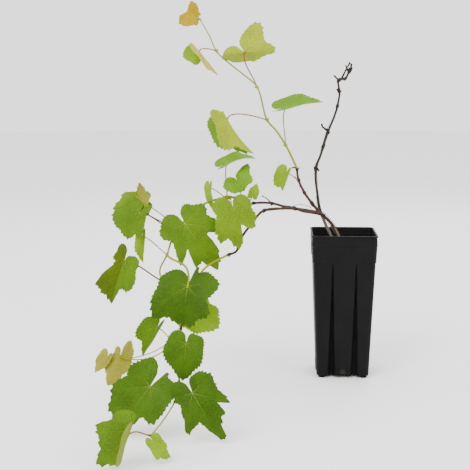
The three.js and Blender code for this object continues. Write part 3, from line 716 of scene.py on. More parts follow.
uprightCaneLook = Look(
    points=[[-43, -2, 238], [-54, 2, 253], [-63, 6, 272], [-65, 8, 287]],
    radii=[2, 1.6], knots=[0.04, 0.36, 0.7, 0.97], depth=0.05, knotFinish=1,
    budSize=1.7, budWays=([1.5, -0.5, 0.6], [1, -0.3, 0.9]), turnedPart=0,
    buds=[(0.5, -1), (0.98, 1)], peels=[],
    stubs=[
        ([[-65, 8, 286], [-69, 9, 288], [-72, 9, 287]], 1.2, 0.9, 0),
        ([[-62, 6, 268], [-65, 4, 271], [-68, 3, 276]], 0.8, 0.5, 0),
    ],
)
sideCaneTrim = {"budSize": 1.7, "budWays": ([0.3, -0.8, 1.5], [-0.5, -0.4, 1]), "turnedPart": 2,
                "peel": (1.8, 0.4), "peels": [((0.05, 0.25), 1.5, 1.3), ((0.42, 0.55), 4, 1.3)]}
upperSideCaneLook = Look(
    points=[[-31, -5, 227], [-51, -12, 231], [-70, -20, 235], [-83, -26, 238], [-100, -32, 243],
            [-123, -42, 244], [-126, -43, 243]],
    radii=[1.9, 1.6], knots=[0.4, 0.72, 0.98], depth=0.06, knotFinish=1, **sideCaneTrim,
    buds=[(0.4, 1), (0.72, -1), (0.98, 1)],
    stubs=[
        ([[-100, -32, 243], [-107, -32, 250], [-113, -32, 253]], 1, 0.6, 0),
        ([[-70, -19, 236], [-63.5, -16, 239], [-55.5, -14, 238.6],
          [-49, -10, 236], [-45, -9, 233.5]], 0.5, 0.4, 2),
    ],
)
lowerSideCaneLook = Look(
    points=[[-26, -4, 223], [-36, -14, 227], [-53, -24, 231], [-70, -35, 236], [-99, -51, 237],
            [-112, -59, 235], [-129, -74, 216], [-139, -80, 202], [-145, -86, 186], [-157, -96, 182]],
    radii=[1.9, 1.6], knots=[0.28, 0.54, 0.88, 0.98], depth=0.06, knotFinish=1, **sideCaneTrim,
    buds=[(0.28, 1), (0.54, -1), (0.88, 1), (0.98, -1)],
)


def woodFinish(name, code, spread=2.0, roughness=(0.7, 0.95), strength=0.6):
    return makeFinish(name, code, spread, roughness, 120, 1300, (600, 3000, strength, 0.0005),
                      Specular_IOR_Level=0.25)


trunkBark = woodFinish("trunkBark", 0x3c281a)
greyPeel = woodFinish("greyPeel", 0x70675a, 1.5)
brownBark = woodFinish("sideCaneBark", 0x3a2619, 2.3)
darkKnot = woodFinish("darkKnot", 0x1c1310, 1.6)
redBark = woodFinish("redBark", 0x431a12, 1.8, (0.5, 0.75), 0.4)
deadBark = woodFinish("deadBark", 0x2a241e, 1.9)
budScale = woodFinish("budScale", 0x24160f, 1.8, (0.6, 0.85), 0.4)


def addBud(shapes, centre, way, size, finish):
    way = unit(way)
    addLump(shapes, np.asarray(centre, float) + way * size * 0.55, way, size, size * 0.52, finish,
            around=10, rows=7, rough=0.06, seed=int(abs(centre[0]) * 7) % 97)


def makeTrunk():
    shapes = []
    route = addLimb(shapes, trunkLook, 5)
    for span, turn, width in trunkLook.peels:
        addPeel(shapes, route, span, turn, width, *trunkLook.peel, 1)
    for share, turn in trunkLook.forkBuds:
        out = [math.cos(turn), -0.5, math.sin(turn)]
        addBud(shapes, route.at(share) + 1.8 * unit(out), [out[0], -0.4, 0.8], 1.5, 2)
    turnOut(makePiece("trunkBark", shapes, [trunkBark, greyPeel, budScale], ["trunk"]))


# A cane with its buds and loose strips. A bud's side turns one part of its shift and its way.
def makeCane(name, look, node, materials, seed):
    shapes = []
    route = addLimb(shapes, look, seed)
    for share, side in look.buds:
        shift, way = (np.array(part, float) for part in look.budWays)
        shift[look.turnedPart] *= side
        way[look.turnedPart] *= side
        addBud(shapes, route.at(share) + shift, way, look.budSize, 1)
    for span, turn, width in look.peels:
        addPeel(shapes, route, span, turn, width, *look.peel, 2)
    turnOut(makePiece(name, shapes, materials, [node]))


makeTrunk()
makeCane("bareCaneBark", bareCaneLook, "bare_cane", [deadBark, darkKnot, greyPeel], 9)
makeCane("uprightCaneBark", uprightCaneLook, "upright_cane", [redBark, budScale], 13)
for name, look, node, seed in (("upperSideCaneBark", upperSideCaneLook, "upper_side_cane", 17),
                               ("lowerSideCaneBark", lowerSideCaneLook, "lower_side_cane", 21)):
    makeCane(name, look, node, [brownBark, darkKnot, greyPeel], seed)
print("trunk and canes done")

# Shares of a leaf's length and degrees round its joint; millimetres for the thickness and for the
# length from which a leaf is large. fine and coarse are the teeth on each side, and the rings.
leafShape = Look(
    thickness=0.4, span=170, sideReach=0.54, spread=50,
    lobes=[[48, 0.22], [104, 0.15]], lobeWidth=8,
    notches=[[25, 0.72], [77, 0.32]], notchWidth=12,
    tipRise=0.06, tipWidth=7, backStart=110, backDrop=0.6,
    creaseWidth=0.05, cupping=0.12, waving=0.03, waves=4,
    veins=[0, 50, -50, 104, -104], largeFrom=40, fine=(21, 30), coarse=(13, 18),
    toothDepth=0.06, toothReach=0.05, toothSizes=(0.55, 1.35), veinSink=0.006, quilt=0.003, quiltStep=0.13,
)
habits = {
    "lobed": {"lobing": 0.6, "fold": 12, "curl": 20},
    "broad": {"lobing": 0.25, "fold": 14, "curl": 22},
    "round": {"lobing": 0.12, "fold": 16, "curl": 15},
    "folded": {"lobing": 0.2, "fold": 52, "curl": 5},
}


# at is the share of the stem where the stalk leaves. joint is where stalk and blade meet, tip and
# face are the ways that the midrib runs and the upper side looks, and length is in millimetres.
# width stretches the blade left and right of its midrib, seen from above with the tip up. tone
# names the colour of the blade, or of its right and its left half, and under that of the underside
# where it differs. Two tones for the halves are painted light and shade: one half lighter, the
# other darker, for light falling unevenly across the fold. turn spins the outline in the blade's
# plane. Each bump of the margin has its place in degrees, to the left where above zero, its rise
# and its width. rise, sway, back and tuck shape the stalk, bark is its colour, girth thickens it
# and knot puts a bud on it.
def leafRow(at, habit, joint, tip, face, length, width, tone, **more):
    row = Look(at=at, joint=joint, tip=tip, face=face, length=length, width=width, tone=tone, under=None,
               turn=0, rise=0, bumps=[], wave=joint[0] + joint[2], sway=(0, 0, 0), back=0.14, tuck=0.16,
               bark="green", girth=1, knot=None)
    return Look(row, **{**habits[habit], **more})


uprightShoot = Look(
    points=[[-65, 8, 287], [-80, 14, 317], [-94, 18, 338], [-107, 22, 353], [-121, 30, 398],
            [-140, 34, 415], [-162, 38, 432], [-178, 42, 447], [-189, 46, 470], [-202, 50, 492]],
    radii=[1.5, 0.8],
    leaves=[
        leafRow(0.14, "round", [-83, 12, 370], [1, -0.05, 0.26], [-0.1, -0.3, 0.95], 52, [1.05, 0.6],
                "light", curl=-4),
        leafRow(0.31, "folded", [-163, 14, 356], [0.45, -0.05, -0.9], [-0.9, -0.15, -0.45], 61,
                [0.95, 1.35], "light", under="pale", bark="blush", rise=0.1, bumps=[[-120, -0.3, 35],
                [-95, 0.15, 28], [55, 0.35, 20], [112, 0.1, 16], [152, -0.55, 16], [-152, -0.4, 16]]),
        leafRow(0.5, "broad", [-139, 28, 446], [1, 0, 0.08], [0, 0.79, 0.61], 63, [1, 1], "pale",
                bark="blush", sway=(0, 6, -4), turn=55, fold=32, curl=10, bumps=[[-118, 0.45, 18],
                [-70, 0.15, 10], [-62, 0.1, 8], [-38, -0.25, 14], [-12, -0.36, 12], [3, -0.3, 10],
                [20, -0.25, 20], [46, -0.25, 14], [110, -0.04, 40]]),
        leafRow(0.8, "folded", [-203, 36, 448], [0.64, 0, -0.77], [-0.64, -0.5, -0.58], 46,
                [0.85, 0.85], "fresh", under="cream", bark="blush", curl=-15, rise=0.15,
                bumps=[[-105, 0.3, 20], [-32, -0.5, 24], [42, 0.2, 20]]),
        leafRow(1, "broad", [-208, 50, 496], [-0.79, -0.1, 0.61], [-0.35, -0.85, 0], 27, [1.3, 1.3],
                "gold", fold=35, curl=60, bumps=[[5, -0.4, 20], [-100, -0.45, 20], [-142, -0.6, 22],
                [-70, 0.12, 12], [72, 0.35, 18], [114, -0.25, 20]]),
    ],
)
sideShoot = Look(
    points=[[-126, -43, 243], [-146, -50, 252], [-159, -54, 253], [-190, -66, 245],
            [-217, -84, 221], [-229, -97, 202], [-234, -110, 185], [-242, -126, 167], [-238, -138, 155]],
    radii=[1.6, 1.1],
    leaves=[
        leafRow(0.02, "round", [-124, -54, 256], [0.3, -0.35, 0.9], [0.2, -0.8, 0.5], 17,
                [0.85, 0.75], "fresh", curl=30),
        leafRow(0.07, "round", [-145, -60, 277], [0.6, -0.45, -0.65], [0.15, -0.75, 0.5], 29,
                [1.25, 1.25], "light", curl=30, bumps=[[5, -0.4, 35], [118, 0.6, 20], [-80, 0.3, 20]]),
        leafRow(0.16, "lobed", [-149, -98, 243], [0.2, -0.3, -0.95], [0.1, -0.9, 0.35], 54,
                [0.85, 0.95], "yellow", lobing=0.5, bumps=[[-30, 0.4, 10], [18, -0.2, 8],
                [72, 0.25, 12]]),
        leafRow(0.18, "broad", [-161, -46, 298], [0.85, 0.1, 0.45], [-0.35, -0.22, 0.9], 42,
                [1.1, 0.95], "light"),
        leafRow(0.19, "round", [-182, -60, 266], [0, -0.1, -1], [-0.85, -0.5, 0.1], 30, [0.7, 0.7],
                "fresh"),
        leafRow(0.58, "lobed", [-211, -103, 224], [0.6, -0.15, -0.8], [0, -0.9, 0.3], 70, [1, 0.82],
                "mid", bumps=[[-90, 0.2, 16], [-50, 0.15, 8], [-25, 0.5, 8], [-36, -0.25, 6],
                [3, 0.1, 8], [20, 0.2, 8], [36, -0.2, 8], [122, -0.24, 22]]),
        # painted light and shade: its right half is a lighter yellow, its left half a darker mid green
        leafRow(0.58, "round", [-269, -92, 252], [-1, -0.1, -0.15], [-0.15, -0.8, 0.5], 40,
                [0.8, 0.7], ("yellow", "mid"), bumps=[[-50, 0.2, 14]]),
        leafRow(0.6, "lobed", [-265, -106, 245], [-0.1, -0.1, 1], [0.25, 0.9, 0.1], 32, [0.5, 0.5],
                "tan", bark="brown", girth=1.2, bumps=[[20, 0.75, 12], [33, 0.25, 8], [55, 0.35, 12]]),
        leafRow(0.63, "broad", [-268, -114, 240], [-0.5, -0.25, -0.8], [-0.3, -0.9, 0.2], 45,
                [0.65, 1], "mid", bumps=[[50, 0.3, 15], [100, -0.4, 18], [-62, 0.35, 18],
                [-30, 0.15, 12], [2, -0.14, 14]]),
        leafRow(0.79, "round", [-266, -112, 208], [-0.1, -0.05, -1], [-0.3, -0.95, 0], 36, [0.3, 0.5],
                "fresh", knot=0.42, fold=30),
        leafRow(0.79, "broad", [-200, -198, 161], [-0.15, -0.5, -0.85], [-0.1, -0.85, 0.5], 64,
                [1, 1.1], "dark", back=0.4, tuck=0.02, girth=1.6, curl=45, bumps=[[-125, -0.12, 25],
                [-60, 0.12, 20], [-37, 0.16, 9], [-2, -0.22, 13], [62, -0.2, 8], [95, 0.2, 16],
                [148, -0.1, 8], [170, 1.2, 10]]),
        # painted shade: its right half is a duller, darker olive than its mid green left half
        leafRow(1, "lobed", [-285, -142, 182], [-0.35, -0.2, -0.9], [-0.1, -0.9, 0.2], 62, [0.9, 0.8],
                ("olive", "mid"), bark="brown", girth=1.15, knot=0.55, fold=30,
                bumps=[[-105, -0.45, 28], [-72, -0.25, 8], [-58, -0.5, 9], [-47, -0.15, 4],
                [-38, 0.2, 10], [-24, 0.4, 9], [10, -0.2, 7], [28, 0.2, 8], [48, -0.12, 8],
                [105, -0.2, 18], [142, -0.6, 26], [168, -0.4, 12]]),
    ],
)
lowerShoot = Look(
    points=[[-157, -96, 182], [-182, -112, 170], [-195, -126, 155], [-202, -146, 133],
            [-210, -176, 105], [-211, -208, 90], [-209, -240, 75], [-205, -264, 64],
            [-206, -284, 48.5], [-217, -330, 35], [-228, -356, 26]],
    radii=[1.5, 0.8],
    leaves=[
        leafRow(0.27, "round", [-195, -160, 124], [0.75, 0, -0.65], [0, -0.95, 0.1], 42, [1.1, 1.1],
                "fresh", bumps=[[62, -0.2, 15], [-95, 0.2, 18]]),
        leafRow(0.52, "round", [-196, -270, 108], [-0.1, -0.3, -0.95], [0, -0.95, 0.3], 44,
                [0.95, 0.95], "deep", bumps=[[-70, 0.18, 18], [135, -0.2, 18]]),
        leafRow(0.52, "round", [-239, -190, 107], [-0.52, -0.3, -0.8], [-0.4, -0.85, 0.1], 42,
                [0.25, 0.95], "mid", fold=25, bumps=[[-130, -0.3, 25], [-18, -0.2, 14]]),
        leafRow(0.4, "broad", [-281, -216, 78], [-0.45, -0.15, -0.9], [0.2, 0.9, 0.25], 38,
                [0.75, 0.75], "tan", turn=-20, rise=-0.47, sway=(6, 0, -14), bumps=[[20, 0.3, 12],
                [110, -0.4, 25], [-155, 0.7, 20]]),
        leafRow(0.4, "round", [-297, -220, 77], [-0.5, -0.1, -0.85], [0.6, 0.75, 0.25], 23,
                [1.1, 0.5], "tan", rise=-0.38, sway=(0, 14, -19)),
        leafRow(0.7, "lobed", [-236, -291, 62], [-0.7, -0.25, -0.65], [-0.1, -0.9, 0.4], 62,
                [0.94, 1], "deep", lobing=0.4, turn=8, bumps=[[-155, 0.45, 22], [-60, 0.1, 14],
                [-26, 0.4, 11], [75, 0.15, 15], [172, 1, 12]]),
        leafRow(0.79, "lobed", [-186, -304, 59], [0.5, -0.3, -0.8], [-0.15, -0.95, 0.3], 63,
                [0.95, 0.8], "dark", lobing=0.8, curl=8, bumps=[[-105, -0.25, 18], [-62, -0.12, 12],
                [-53, -0.12, 6], [-42, 0.14, 6], [-27, 0.3, 8], [-8, -0.12, 8], [6, 0.12, 5],
                [19, 0.22, 5], [28, 0.4, 7], [43, -0.3, 5], [78, 0.15, 8], [112, -0.1, 20],
                [145, -0.15, 15]]),
        leafRow(1, "folded", [-246, -390, 42], [-0.35, -0.35, -0.9], [-0.8, -0.6, 0.1], 49, [1, 1],
                "mid", bark="blush", turn=-25, lobing=0.3, bumps=[[-90, 0.1, 15], [-56, 0.4, 12],
                [-51, -0.08, 6], [-29, 0.18, 8], [-10, 0.15, 10], [3, -0.12, 9], [58, 0.35, 12]]),
        leafRow(1, "broad", [-223, -372, 25], [0.6, -0.3, -0.7], [0.1, -0.95, 0.3], 24, [0.8, 0.64],
                "fresh", bumps=[[18, 0.25, 12], [-35, 0.3, 14]]),
    ],
)
spurLeaf = leafRow(0.68, "round", [-80, -6, 282], [-0.4, -0.1, -0.9], [-0.5, -0.85, 0.2], 28,
                   [0.5, 1], "fresh", fold=25, bumps=[[0, -0.2, 12], [26, 0.25, 12], [-28, 0.15, 12]])


# Distance of the margin from the joint, as a share of the length: a body that narrows away from
# the tip, times lobes and notches, times a drop towards the back.
def marginReach(degrees, leaf):
    shape = leafShape
    angle = np.abs(degrees)
    body = shape.sideReach + (1 - shape.sideReach) * np.exp(-((angle / shape.spread) ** 1.7))
    tip = 1 - shape.tipRise + shape.tipRise * np.exp(-angle / shape.tipWidth)
    lobes = 1.0
    for place, rise in shape.lobes:
        lobes = lobes + leaf.lobing * rise * np.exp(-np.abs(angle - place) / shape.lobeWidth)
    for place, fall in shape.notches:
        lobes = lobes - leaf.lobing * fall * np.exp(-(((angle - place) / shape.notchWidth) ** 2))
    for place, rise, width in leaf.bumps:
        lobes = lobes + rise * np.exp(-(((degrees - place) / width) ** 2))
    back = np.clip((angle - shape.backStart) / (shape.span - shape.backStart), 0, 1)
    return body * tip * lobes * (1 - shape.backDrop * back * back)


# Nearest main vein: distance along it and away from it, for points given by angle and reach.
def veinPlace(degrees, reach):
    veins = np.array(leafShape.veins, float)
    off = np.radians(degrees[..., None] - veins)
    along = reach[..., None] * np.cos(off)
    away = np.where(np.abs(off) < math.pi / 2, np.abs(reach[..., None] * np.sin(off)), reach[..., None])
    best = np.argmin(away, -1)[..., None]
    return np.take_along_axis(along, best, -1)[..., 0], np.take_along_axis(away, best, -1)[..., 0]


# A point of the blade from its angle and reach: folded along the midrib, cupped, waved, quilted
# between the veins, then bent round the curl. offset lifts it off the middle of the blade.
def leafSheet(leaf, degrees, reach, offset=0.0):
    shape = leafShape
    angle = np.radians(degrees + leaf.turn)
    ring = reach / marginReach(degrees, leaf)
    along, flat = reach * np.cos(angle), reach * np.sin(angle)
    across = flat * np.where(flat > 0, leaf.width[0], leaf.width[1])
    rise = np.hypot(across, shape.creaseWidth) - shape.creaseWidth
    fold, bend = math.radians(leaf.fold), math.radians(leaf.curl)
    lift = rise * math.sin(fold) - shape.cupping * (along**2 + across**2)
    lift = lift + shape.waving * np.sin(shape.waves * angle + leaf.wave) * reach * ring
    onVein, offVein = veinPlace(degrees, reach)
    lift = lift - shape.veinSink * np.exp(-((offVein / 0.022) ** 2)) * ease(0, 0.1, reach)
    quilt = -np.cos(2 * math.pi * (onVein - offVein) / shape.quiltStep)
    lift = lift + shape.quilt * quilt * ease(0, 0.06, offVein) * ease(1.0, 0.85, ring)
    lift = lift + offset / leaf.length
    forward = np.sin(bend * along) / bend + lift * np.sin(bend * along)
    up = (np.cos(bend * along) - 1) / bend + lift * np.cos(bend * along)
    tipWay, faceWay, sideWay = leafWays(leaf)
    place = (forward[..., None] * tipWay + (across * math.cos(fold))[..., None] * sideWay
             + up[..., None] * faceWay)
    return np.asarray(leaf.joint, float) + leaf.length * place


def leafWays(leaf):
    tipWay = unit(leaf.tip)
    face = np.asarray(leaf.face, float)
    faceWay = unit(face - tipWay * (face @ tipWay))
    return tipWay, faceWay, np.cross(faceWay, tipWay)


# Saw teeth round the margin: each rises steeply on the side towards the lobe's tip.
def toothHeights(teeth, leaf, seed):
    rng = np.random.default_rng(seed)
    spokes = np.arange(-4 * teeth, 4 * teeth + 1)
    step = np.abs(spokes) % 4
    slope = marginReach(np.abs(spokes) * leafShape.span / (4 * teeth) + 1.5, leaf) - marginReach(
        np.abs(spokes) * leafShape.span / (4 * teeth) - 1.5, leaf)
    falling = np.array([1, 0.6, 0.25, 0.0])[step]
    rising = np.array([1, 0.0, 0.3, 0.65])[step]
    size = rng.uniform(*leafShape.toothSizes, 2 * teeth + 3)[(spokes + 4 * teeth + 2) // 4]
    return (np.where(slope > 0.004, rising, falling) - 0.35) * size


# Faces of a slab of rings and spokes: its two sides, the rim, the two edges at the back and the
# seam between them, and the small triangles round the joint.
def bladeFaces(rows, columns):
    count = rows * columns
    faces = gridFaces(rows, columns, False)
    first = np.arange(rows) * columns
    last = first + columns - 1
    outer = np.arange(columns) + count - columns

    def wall(a, b):  # from the line a to b of the upper side down to the underside
        return np.stack([a, a + count, b + count, b], -1)

    seam = np.array([[2 * count, 2 * count + 1, first[0] + count, first[0]],
                     [last[0], last[0] + count, 2 * count + 1, 2 * count]])
    quads = np.vstack([faces, faces[:, ::-1] + count, wall(outer[:-1], outer[1:]),
                       wall(first[:-1], first[1:]), wall(last[1:], last[:-1]), seam])
    inner = np.arange(columns - 1)
    upper = np.stack([np.full(columns - 1, 2 * count), inner, inner + 1], -1)
    lower = np.stack([np.full(columns - 1, 2 * count + 1), inner + 1 + count, inner + count], -1)
    return quads[:, ::-1], np.vstack([upper, lower])[:, ::-1]


# Finishes of these faces: a tone for each half of the blade, and the underside's below both.
# Two different tones on the halves are painted light and shade across the midrib.
def bladeFinish(leaf, degrees, rows, many):
    right, left = ([leaf.tone] * 2) if isinstance(leaf.tone, str) else leaf.tone
    side = np.where(degrees[:-1] < 0, toneNames.index(right), toneNames.index(left))
    low = side if leaf.under is None else np.full(len(side), toneNames.index(leaf.under))
    low = low + len(toneNames)
    back = np.full(many - (2 * rows - 1) * len(side), side[0])
    quads = [np.tile(side, rows - 1), np.tile(low, rows - 1), side, back]
    return {"quads": np.concatenate(quads), "triangles": np.concatenate([side, low])}


# The blade: a closed thin slab of rings and spokes whose margin carries the teeth.
def addBlade(shapes, leaf, seed):
    large = leaf.length > leafShape.largeFrom
    teeth, rings = leafShape.fine if large else leafShape.coarse
    half = leafShape.span
    degrees = np.linspace(-half, half, 8 * teeth + 1)
    heights = toothHeights(teeth, leaf, seed) * leafShape.toothDepth * (1 if large else 1.25)
    ring = np.concatenate([np.linspace(0.03, 0.9, rings - 3), [0.94, 0.975, 1.0]])[:, None]
    edge = np.exp(-(1 - ring) / leafShape.toothReach)
    reach = marginReach(degrees, leaf)[None, :] * (ring + edge * heights[None, :])
    spread = np.broadcast_to(degrees[None, :], reach.shape)
    thick = leafShape.thickness / 2
    thin = thick * (1 - 0.6 * ease(0.8, 1.0, np.broadcast_to(ring, reach.shape)))
    top, under = leafSheet(leaf, spread, reach, thin), leafSheet(leaf, spread, reach, -thin)
    centre = leafSheet(leaf, np.zeros(2), np.full(2, 1e-4), np.array([thick, -thick]))
    quads, triangles = bladeFaces(*reach.shape)
    shapes.append({
        "points": np.vstack([top.reshape(-1, 3), under.reshape(-1, 3), centre]),
        "quads": quads, "triangles": triangles,
        "finish": bladeFinish(leaf, degrees, len(reach), len(quads)),
    })


# Widths and heights in millimetres, ends and steps in shares of the blade, angles in degrees.
veinLook = Look(midrib=0.5, main=0.42, least=0.6, growth=110, flat=0.62, high=0.42, points=12,
                foot=0.005, end=0.96, taper=0.35, sink=0.06, sideWide=0.11, sideHigh=0.27,
                sideEnd=0.93, sidePoints=5, sideReach=1.2, samples=40, slant=45, farthest=166,
                backReach=60)


# A raised vein along a line of the blade: a tube with a lens section, thinner towards its end.
def addVein(shapes, leaf, degrees, reach, wide, high, around=5, finish=0):
    centre = leafSheet(leaf, degrees, reach)
    above = leafSheet(leaf, degrees, reach, 0.5) - centre
    above /= np.linalg.norm(above, axis=1, keepdims=True)
    way = np.gradient(centre, axis=0)
    way /= np.linalg.norm(way, axis=1, keepdims=True)
    side = np.cross(way, above)
    angle = np.linspace(0, 2 * math.pi, around, endpoint=False) + 0.3
    size = np.linspace(1, veinLook.taper, len(reach))[:, None]
    ring = (side[:, None] * (np.cos(angle) * wide * size)[..., None]
            + above[:, None] * (np.sin(angle) * high * size - veinLook.sink)[..., None])
    addRings(shapes, centre[:, None] + ring, [centre[:1], centre[-1:]], finish, flip=True)


# A side vein leaves its main vein forwards at the slant, from start on. It ends at the margin or
# limit degrees away from the main vein, and one too short for three samples is left out.
def addSideVein(shapes, leaf, place, start, side, limit):
    look = veinLook
    step, slant = np.linspace(0, look.sideReach, look.samples), math.radians(look.slant)
    x, y = start + step * math.cos(slant), side * step * math.sin(slant)
    reach, degrees = np.hypot(x, y), np.degrees(np.arctan2(y, x)) + place
    fits = (np.abs(degrees - place) < limit) & (np.abs(degrees) < look.farthest)
    fits &= reach < look.sideEnd * marginReach(degrees, leaf)
    many = look.samples if fits.all() else int(np.argmin(fits))
    if many < 3:
        return
    pick, whole = np.linspace(0, many - 1, look.sidePoints), np.arange(look.samples)
    addVein(shapes, leaf, np.interp(pick, whole, degrees), np.interp(pick, whole, reach),
            look.sideWide, look.sideHigh, around=4, finish=1)


# The main veins run out to the lobes, with a side vein on each side at every step of the quilt.
def addVeins(shapes, leaf):
    look, veins = veinLook, sorted(leafShape.veins)
    for place in veins:
        end = float(marginReach(np.array([float(place)]), leaf)[0]) * look.end
        reach = np.linspace(look.foot, end, look.points)
        width = (look.midrib if place == 0 else look.main) * (look.least + leaf.length / look.growth)
        addVein(shapes, leaf, np.full(look.points, float(place)), reach, width * look.flat, look.high)
        near = min(abs(place - other) / 2 for other in veins if other != place)
        for n in range(1, int(end / leafShape.quiltStep)):
            for side in (-1, 1):
                behind = side * place > 0 and abs(place) == veins[-1]
                addSideVein(shapes, leaf, place, n * leafShape.quiltStep, side,
                            look.backReach if behind else near)


stalkLook = Look(girth=0.54, perLength=0.0052, foot=0.32, footReach=2.5,
                 top=0.2, topReach=3, around=10, pitch=1.4, knotSize=1.3)


# A leaf stalk: a bend from the stem that rises a little and runs in under the midrib.
def stalkRoute(start, leaf):
    tipWay, faceWay, _ = leafWays(leaf)
    joint = np.asarray(leaf.joint, float)
    reach = np.linalg.norm(joint - start)
    leave = start + (joint - start) * 0.35 + np.array([0, leaf.sway[1], leaf.rise * reach])
    arrive = joint - tipWay * leaf.back * reach + np.array(leaf.sway)
    arrive -= faceWay * leaf.tuck * reach
    return Bend(start, leave, arrive, joint + tipWay * 2.2 - faceWay * 0.3)


# Radius along a stalk: thicker for a longer leaf, swollen where it leaves and where it arrives.
def stalkRadius(length, leaf):
    look = stalkLook

    def radius(share, angle):
        s = share * length
        ends = look.foot * np.exp(-((s / look.footReach) ** 2))
        ends = ends + look.top * np.exp(-(((length - s) / look.topReach) ** 2))
        base = look.girth + look.perLength * leaf.length + ends
        return leaf.girth * base * (1 + 0.05 * np.cos(3 * angle))

    return radius


# Each tone: the tint of the upper side and of the underside.
tones = {
    "gold": (0x967f02, 0xa08a30), "pale": (0x6f7e04, 0x85921c), "cream": (0x6c8a04, 0xa89a3c),
    "light": (0x567b0a, 0x7f8a2c), "fresh": (0x6c8a04, 0x8c9028), "yellow": (0x597302, 0x808424),
    "mid": (0x476402, 0x707a28), "deep": (0x375402, 0x66722a), "dark": (0x324e02, 0x5c6a2c),
    "olive": (0x465604, 0x857c34), "tan": (0x6a6a1c, 0x807c2a),
}
toneNames = list(tones)


def leafFinish(name, code, spread, roughness, strength, net=0.0, deep=None):
    return makeFinish(name, code, spread, roughness, 45, 1100, (380, 2600, strength, 0.0003), net, deep,
                      Specular_IOR_Level=0.1)


upperSides = [leafFinish(n + "Upper", tones[n][0], 1.22, (0.5, 0.7), 0.35, 0.3, 1.55) for n in toneNames]
underSides = [leafFinish(n + "Under", tones[n][1], 1.15, (0.7, 0.9), 0.5, 0.35, 1.3) for n in toneNames]
mainVein = leafFinish("paleVein", 0x8a9636, 1.2, (0.5, 0.7), 0.2)
sideVein = leafFinish("greenVein", 0x51720c, 1.2, (0.5, 0.7), 0.2)
greenStem = leafFinish("greenStem", 0x7a7e08, 1.35, (0.45, 0.65), 0.3)
brownStem = leafFinish("ripeningStem", 0x4f3c18, 1.7, (0.5, 0.7), 0.3)
greenStalk = leafFinish("greenStalk", 0x7e800e, 1.3, (0.45, 0.65), 0.2)
pinkStalk = leafFinish("blushedStalk", 0x7c4f34, 1.4, (0.45, 0.65), 0.2)


stemLook = Look(around=18, pitch=1.1, swell=0.95, swellWidth=2.2, ridges=5, ridge=0.03,
                cuts=[0, 0.34, 0.7, 1], budSize=1.6, budOut=1.4)


# The green stem of a shoot, in three stretches with a finish each: it tapers, swells where
# stalks leave it, and has a bud at each of these.
def addShootStem(shapes, shoot, finishAt):
    look, route = stemLook, Route(shoot.points)
    first, last = shoot.radii
    nodes = sorted({leaf.at for leaf in shoot.leaves})

    def radius(share, angle):
        base = first + (last - first) * share
        for node in nodes:
            away = (share - node) * route.length / look.swellWidth
            base = base + look.swell * np.exp(-(away**2))
        return base * (1 + look.ridge * np.cos(look.ridges * angle + 9 * share))

    for low, high, finish in zip(look.cuts, look.cuts[1:], finishAt):
        steps = int(route.length * (high - low) / look.pitch)
        addTube(shapes, route, radius, look.around, steps, finish, span=(low, high), soft=0.1)
    for k, node in enumerate(nodes):
        side = -1 if k % 2 else 1
        spot, way = route.at(node), route.way(np.array([node]))[0]
        out = unit(np.cross(way, [0, 1, 0])) * side
        addBud(shapes, spot + out * look.budOut, out + 0.9 * way, look.budSize, 3)
    return route


barks = ["green", "blush", "brown"]  # the stalks' colours, in the order of their materials


# One leaf with its stalk, from the place where it leaves the stem or cane.
def addLeaf(stalks, blades, veins, start, leaf, seed, rings=None):
    bend = stalkRoute(start, leaf)
    rings = rings or max(12, int(bend.length / stalkLook.pitch))
    addTube(stalks, bend, stalkRadius(bend.length, leaf), stalkLook.around, rings, barks.index(leaf.bark))
    if leaf.knot:
        spot, way = bend.at(leaf.knot), bend.way(np.array([leaf.knot]))[0]
        addBud(stalks, spot + [0, -0.4, 0.3], way + [0, -0.4, 0.4], stalkLook.knotSize, 3)
    addBlade(blades, leaf, seed)
    addVeins(veins, leaf)


def makeLeafPieces(name, stalks, blades, veins, stalkBarks, nodes, plural="s"):
    makePiece(name + "Stalk" + plural, stalks, stalkBarks, nodes)
    makePiece(name + "Blade" + plural, blades, upperSides + underSides, nodes, crease=60)
    makePiece(name + "Veins", veins, [mainVein, sideVein], nodes, crease=80)


def makeShoot(name, shoot, nodes, finishAt):
    stems, stalks, blades, veins = [], [], [], []
    route = addShootStem(stems, shoot, finishAt)
    for k, leaf in enumerate(shoot.leaves):
        addLeaf(stalks, blades, veins, route.at(leaf.at), leaf, seed=100 + k)
    makePiece(name + "Stem", stems, [greenStem, brownStem, redBark, budScale], nodes)
    stalkBarks = [greenStalk, pinkStalk, brownStem, budScale]
    makeLeafPieces(name, stalks, blades, veins, stalkBarks, nodes)


def makeSpur():
    stalks, blades, veins = [], [], []
    start = Route(uprightCaneLook.points).at(spurLeaf.at)
    addLeaf(stalks, blades, veins, start, spurLeaf, seed=77, rings=20)
    makeLeafPieces("spurLeaf", stalks, blades, veins, [greenStalk], ["spur_leaf"], plural="")


makeShoot("uprightShoot", uprightShoot, ["upright_shoot_low", "upright_shoot_top"],
          (0, 0, 0))
print("upright shoot done")
makeShoot("sideShoot", sideShoot, ["side_shoot_near", "side_shoot_far", "side_shoot_tip"],
          (0, 0, 0))
print("side shoot done")
makeShoot("lowerShoot", lowerShoot, ["lower_shoot_near", "lower_shoot_mid", "lower_shoot_tip"],
          (0, 1, 0))
makeSpur()
print("lower shoot and spur done")


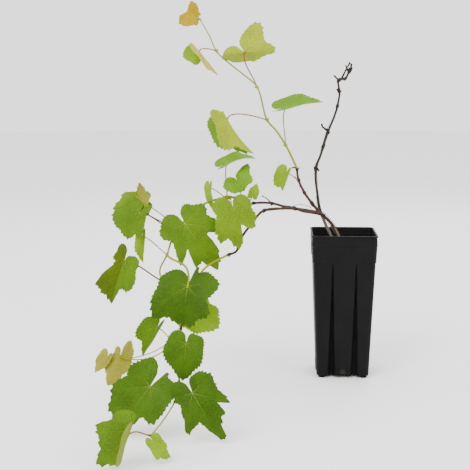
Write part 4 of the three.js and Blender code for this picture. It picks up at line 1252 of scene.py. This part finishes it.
def makeFloor():
    radius, sides = 6, 96  # metres
    angle = np.linspace(0, 2 * math.pi, sides, endpoint=False)
    ring = np.stack([radius * np.cos(angle), radius * np.sin(angle), np.zeros(sides)], -1)
    mesh = bpy.data.meshes.new("paleFloor")
    mesh.from_pydata(ring.tolist(), [], [list(range(sides))])
    floor = addObject("paleFloor", mesh)
    material = bpy.data.materials.new("paleFloor")
    material.use_nodes = True
    shader = material.node_tree.nodes["Principled BSDF"]
    shader.inputs["Base Color"].default_value = (0.9, 0.9, 0.9, 1)
    shader.inputs["Roughness"].default_value = 0.9
    mesh.materials.append(material)


lightAim = (-0.12, -0.1, 0.22)
lightLook = {  # place, size and power of each soft lamp
    "key": [(-0.9, -1.5, 1.6), 1.2, 40],
    "fill": [(1.4, -1.1, 0.9), 1.4, 10],
    "back": [(0.3, 1.5, 1.5), 1.2, 20],
}


def makeLights():
    for name, (place, size, power) in lightLook.items():
        lamp = bpy.data.lights.new(name, "AREA")
        lamp.shape, lamp.size, lamp.energy = "DISK", size, power
        holder = addObject(name, lamp)
        holder.location = place
        holder.rotation_euler = (Vector(lightAim) - Vector(place)).to_track_quat("-Z", "Y").to_euler()
    world = bpy.data.worlds.new("studioWorld")
    world.use_nodes = True
    world.node_tree.nodes["Background"].inputs["Color"].default_value = (1, 1, 1, 1)
    world.node_tree.nodes["Background"].inputs["Strength"].default_value = 2.0
    bpy.context.scene.world = world


cameraLook = Look(azimuth=2.4, elevation=8.8, distance=1.5, target=(-0.1505, 0, 0.194), lens=82.4)


def makeCamera():
    turn, tilt = math.radians(cameraLook.azimuth), math.radians(cameraLook.elevation)
    back = Vector((math.sin(turn) * math.cos(tilt), -math.cos(turn) * math.cos(tilt), math.sin(tilt)))
    lens = bpy.data.cameras.new("camera")
    lens.lens, lens.sensor_width, lens.clip_start = cameraLook.lens, 36, 0.01
    camera = addObject("camera", lens)
    camera.location = Vector(cameraLook.target) + back * cameraLook.distance
    camera.rotation_euler = (-back).to_track_quat("-Z", "Y").to_euler()
    bpy.context.scene.camera = camera


makeFloor()
makeLights()
makeCamera()
print("floor, light and camera done")
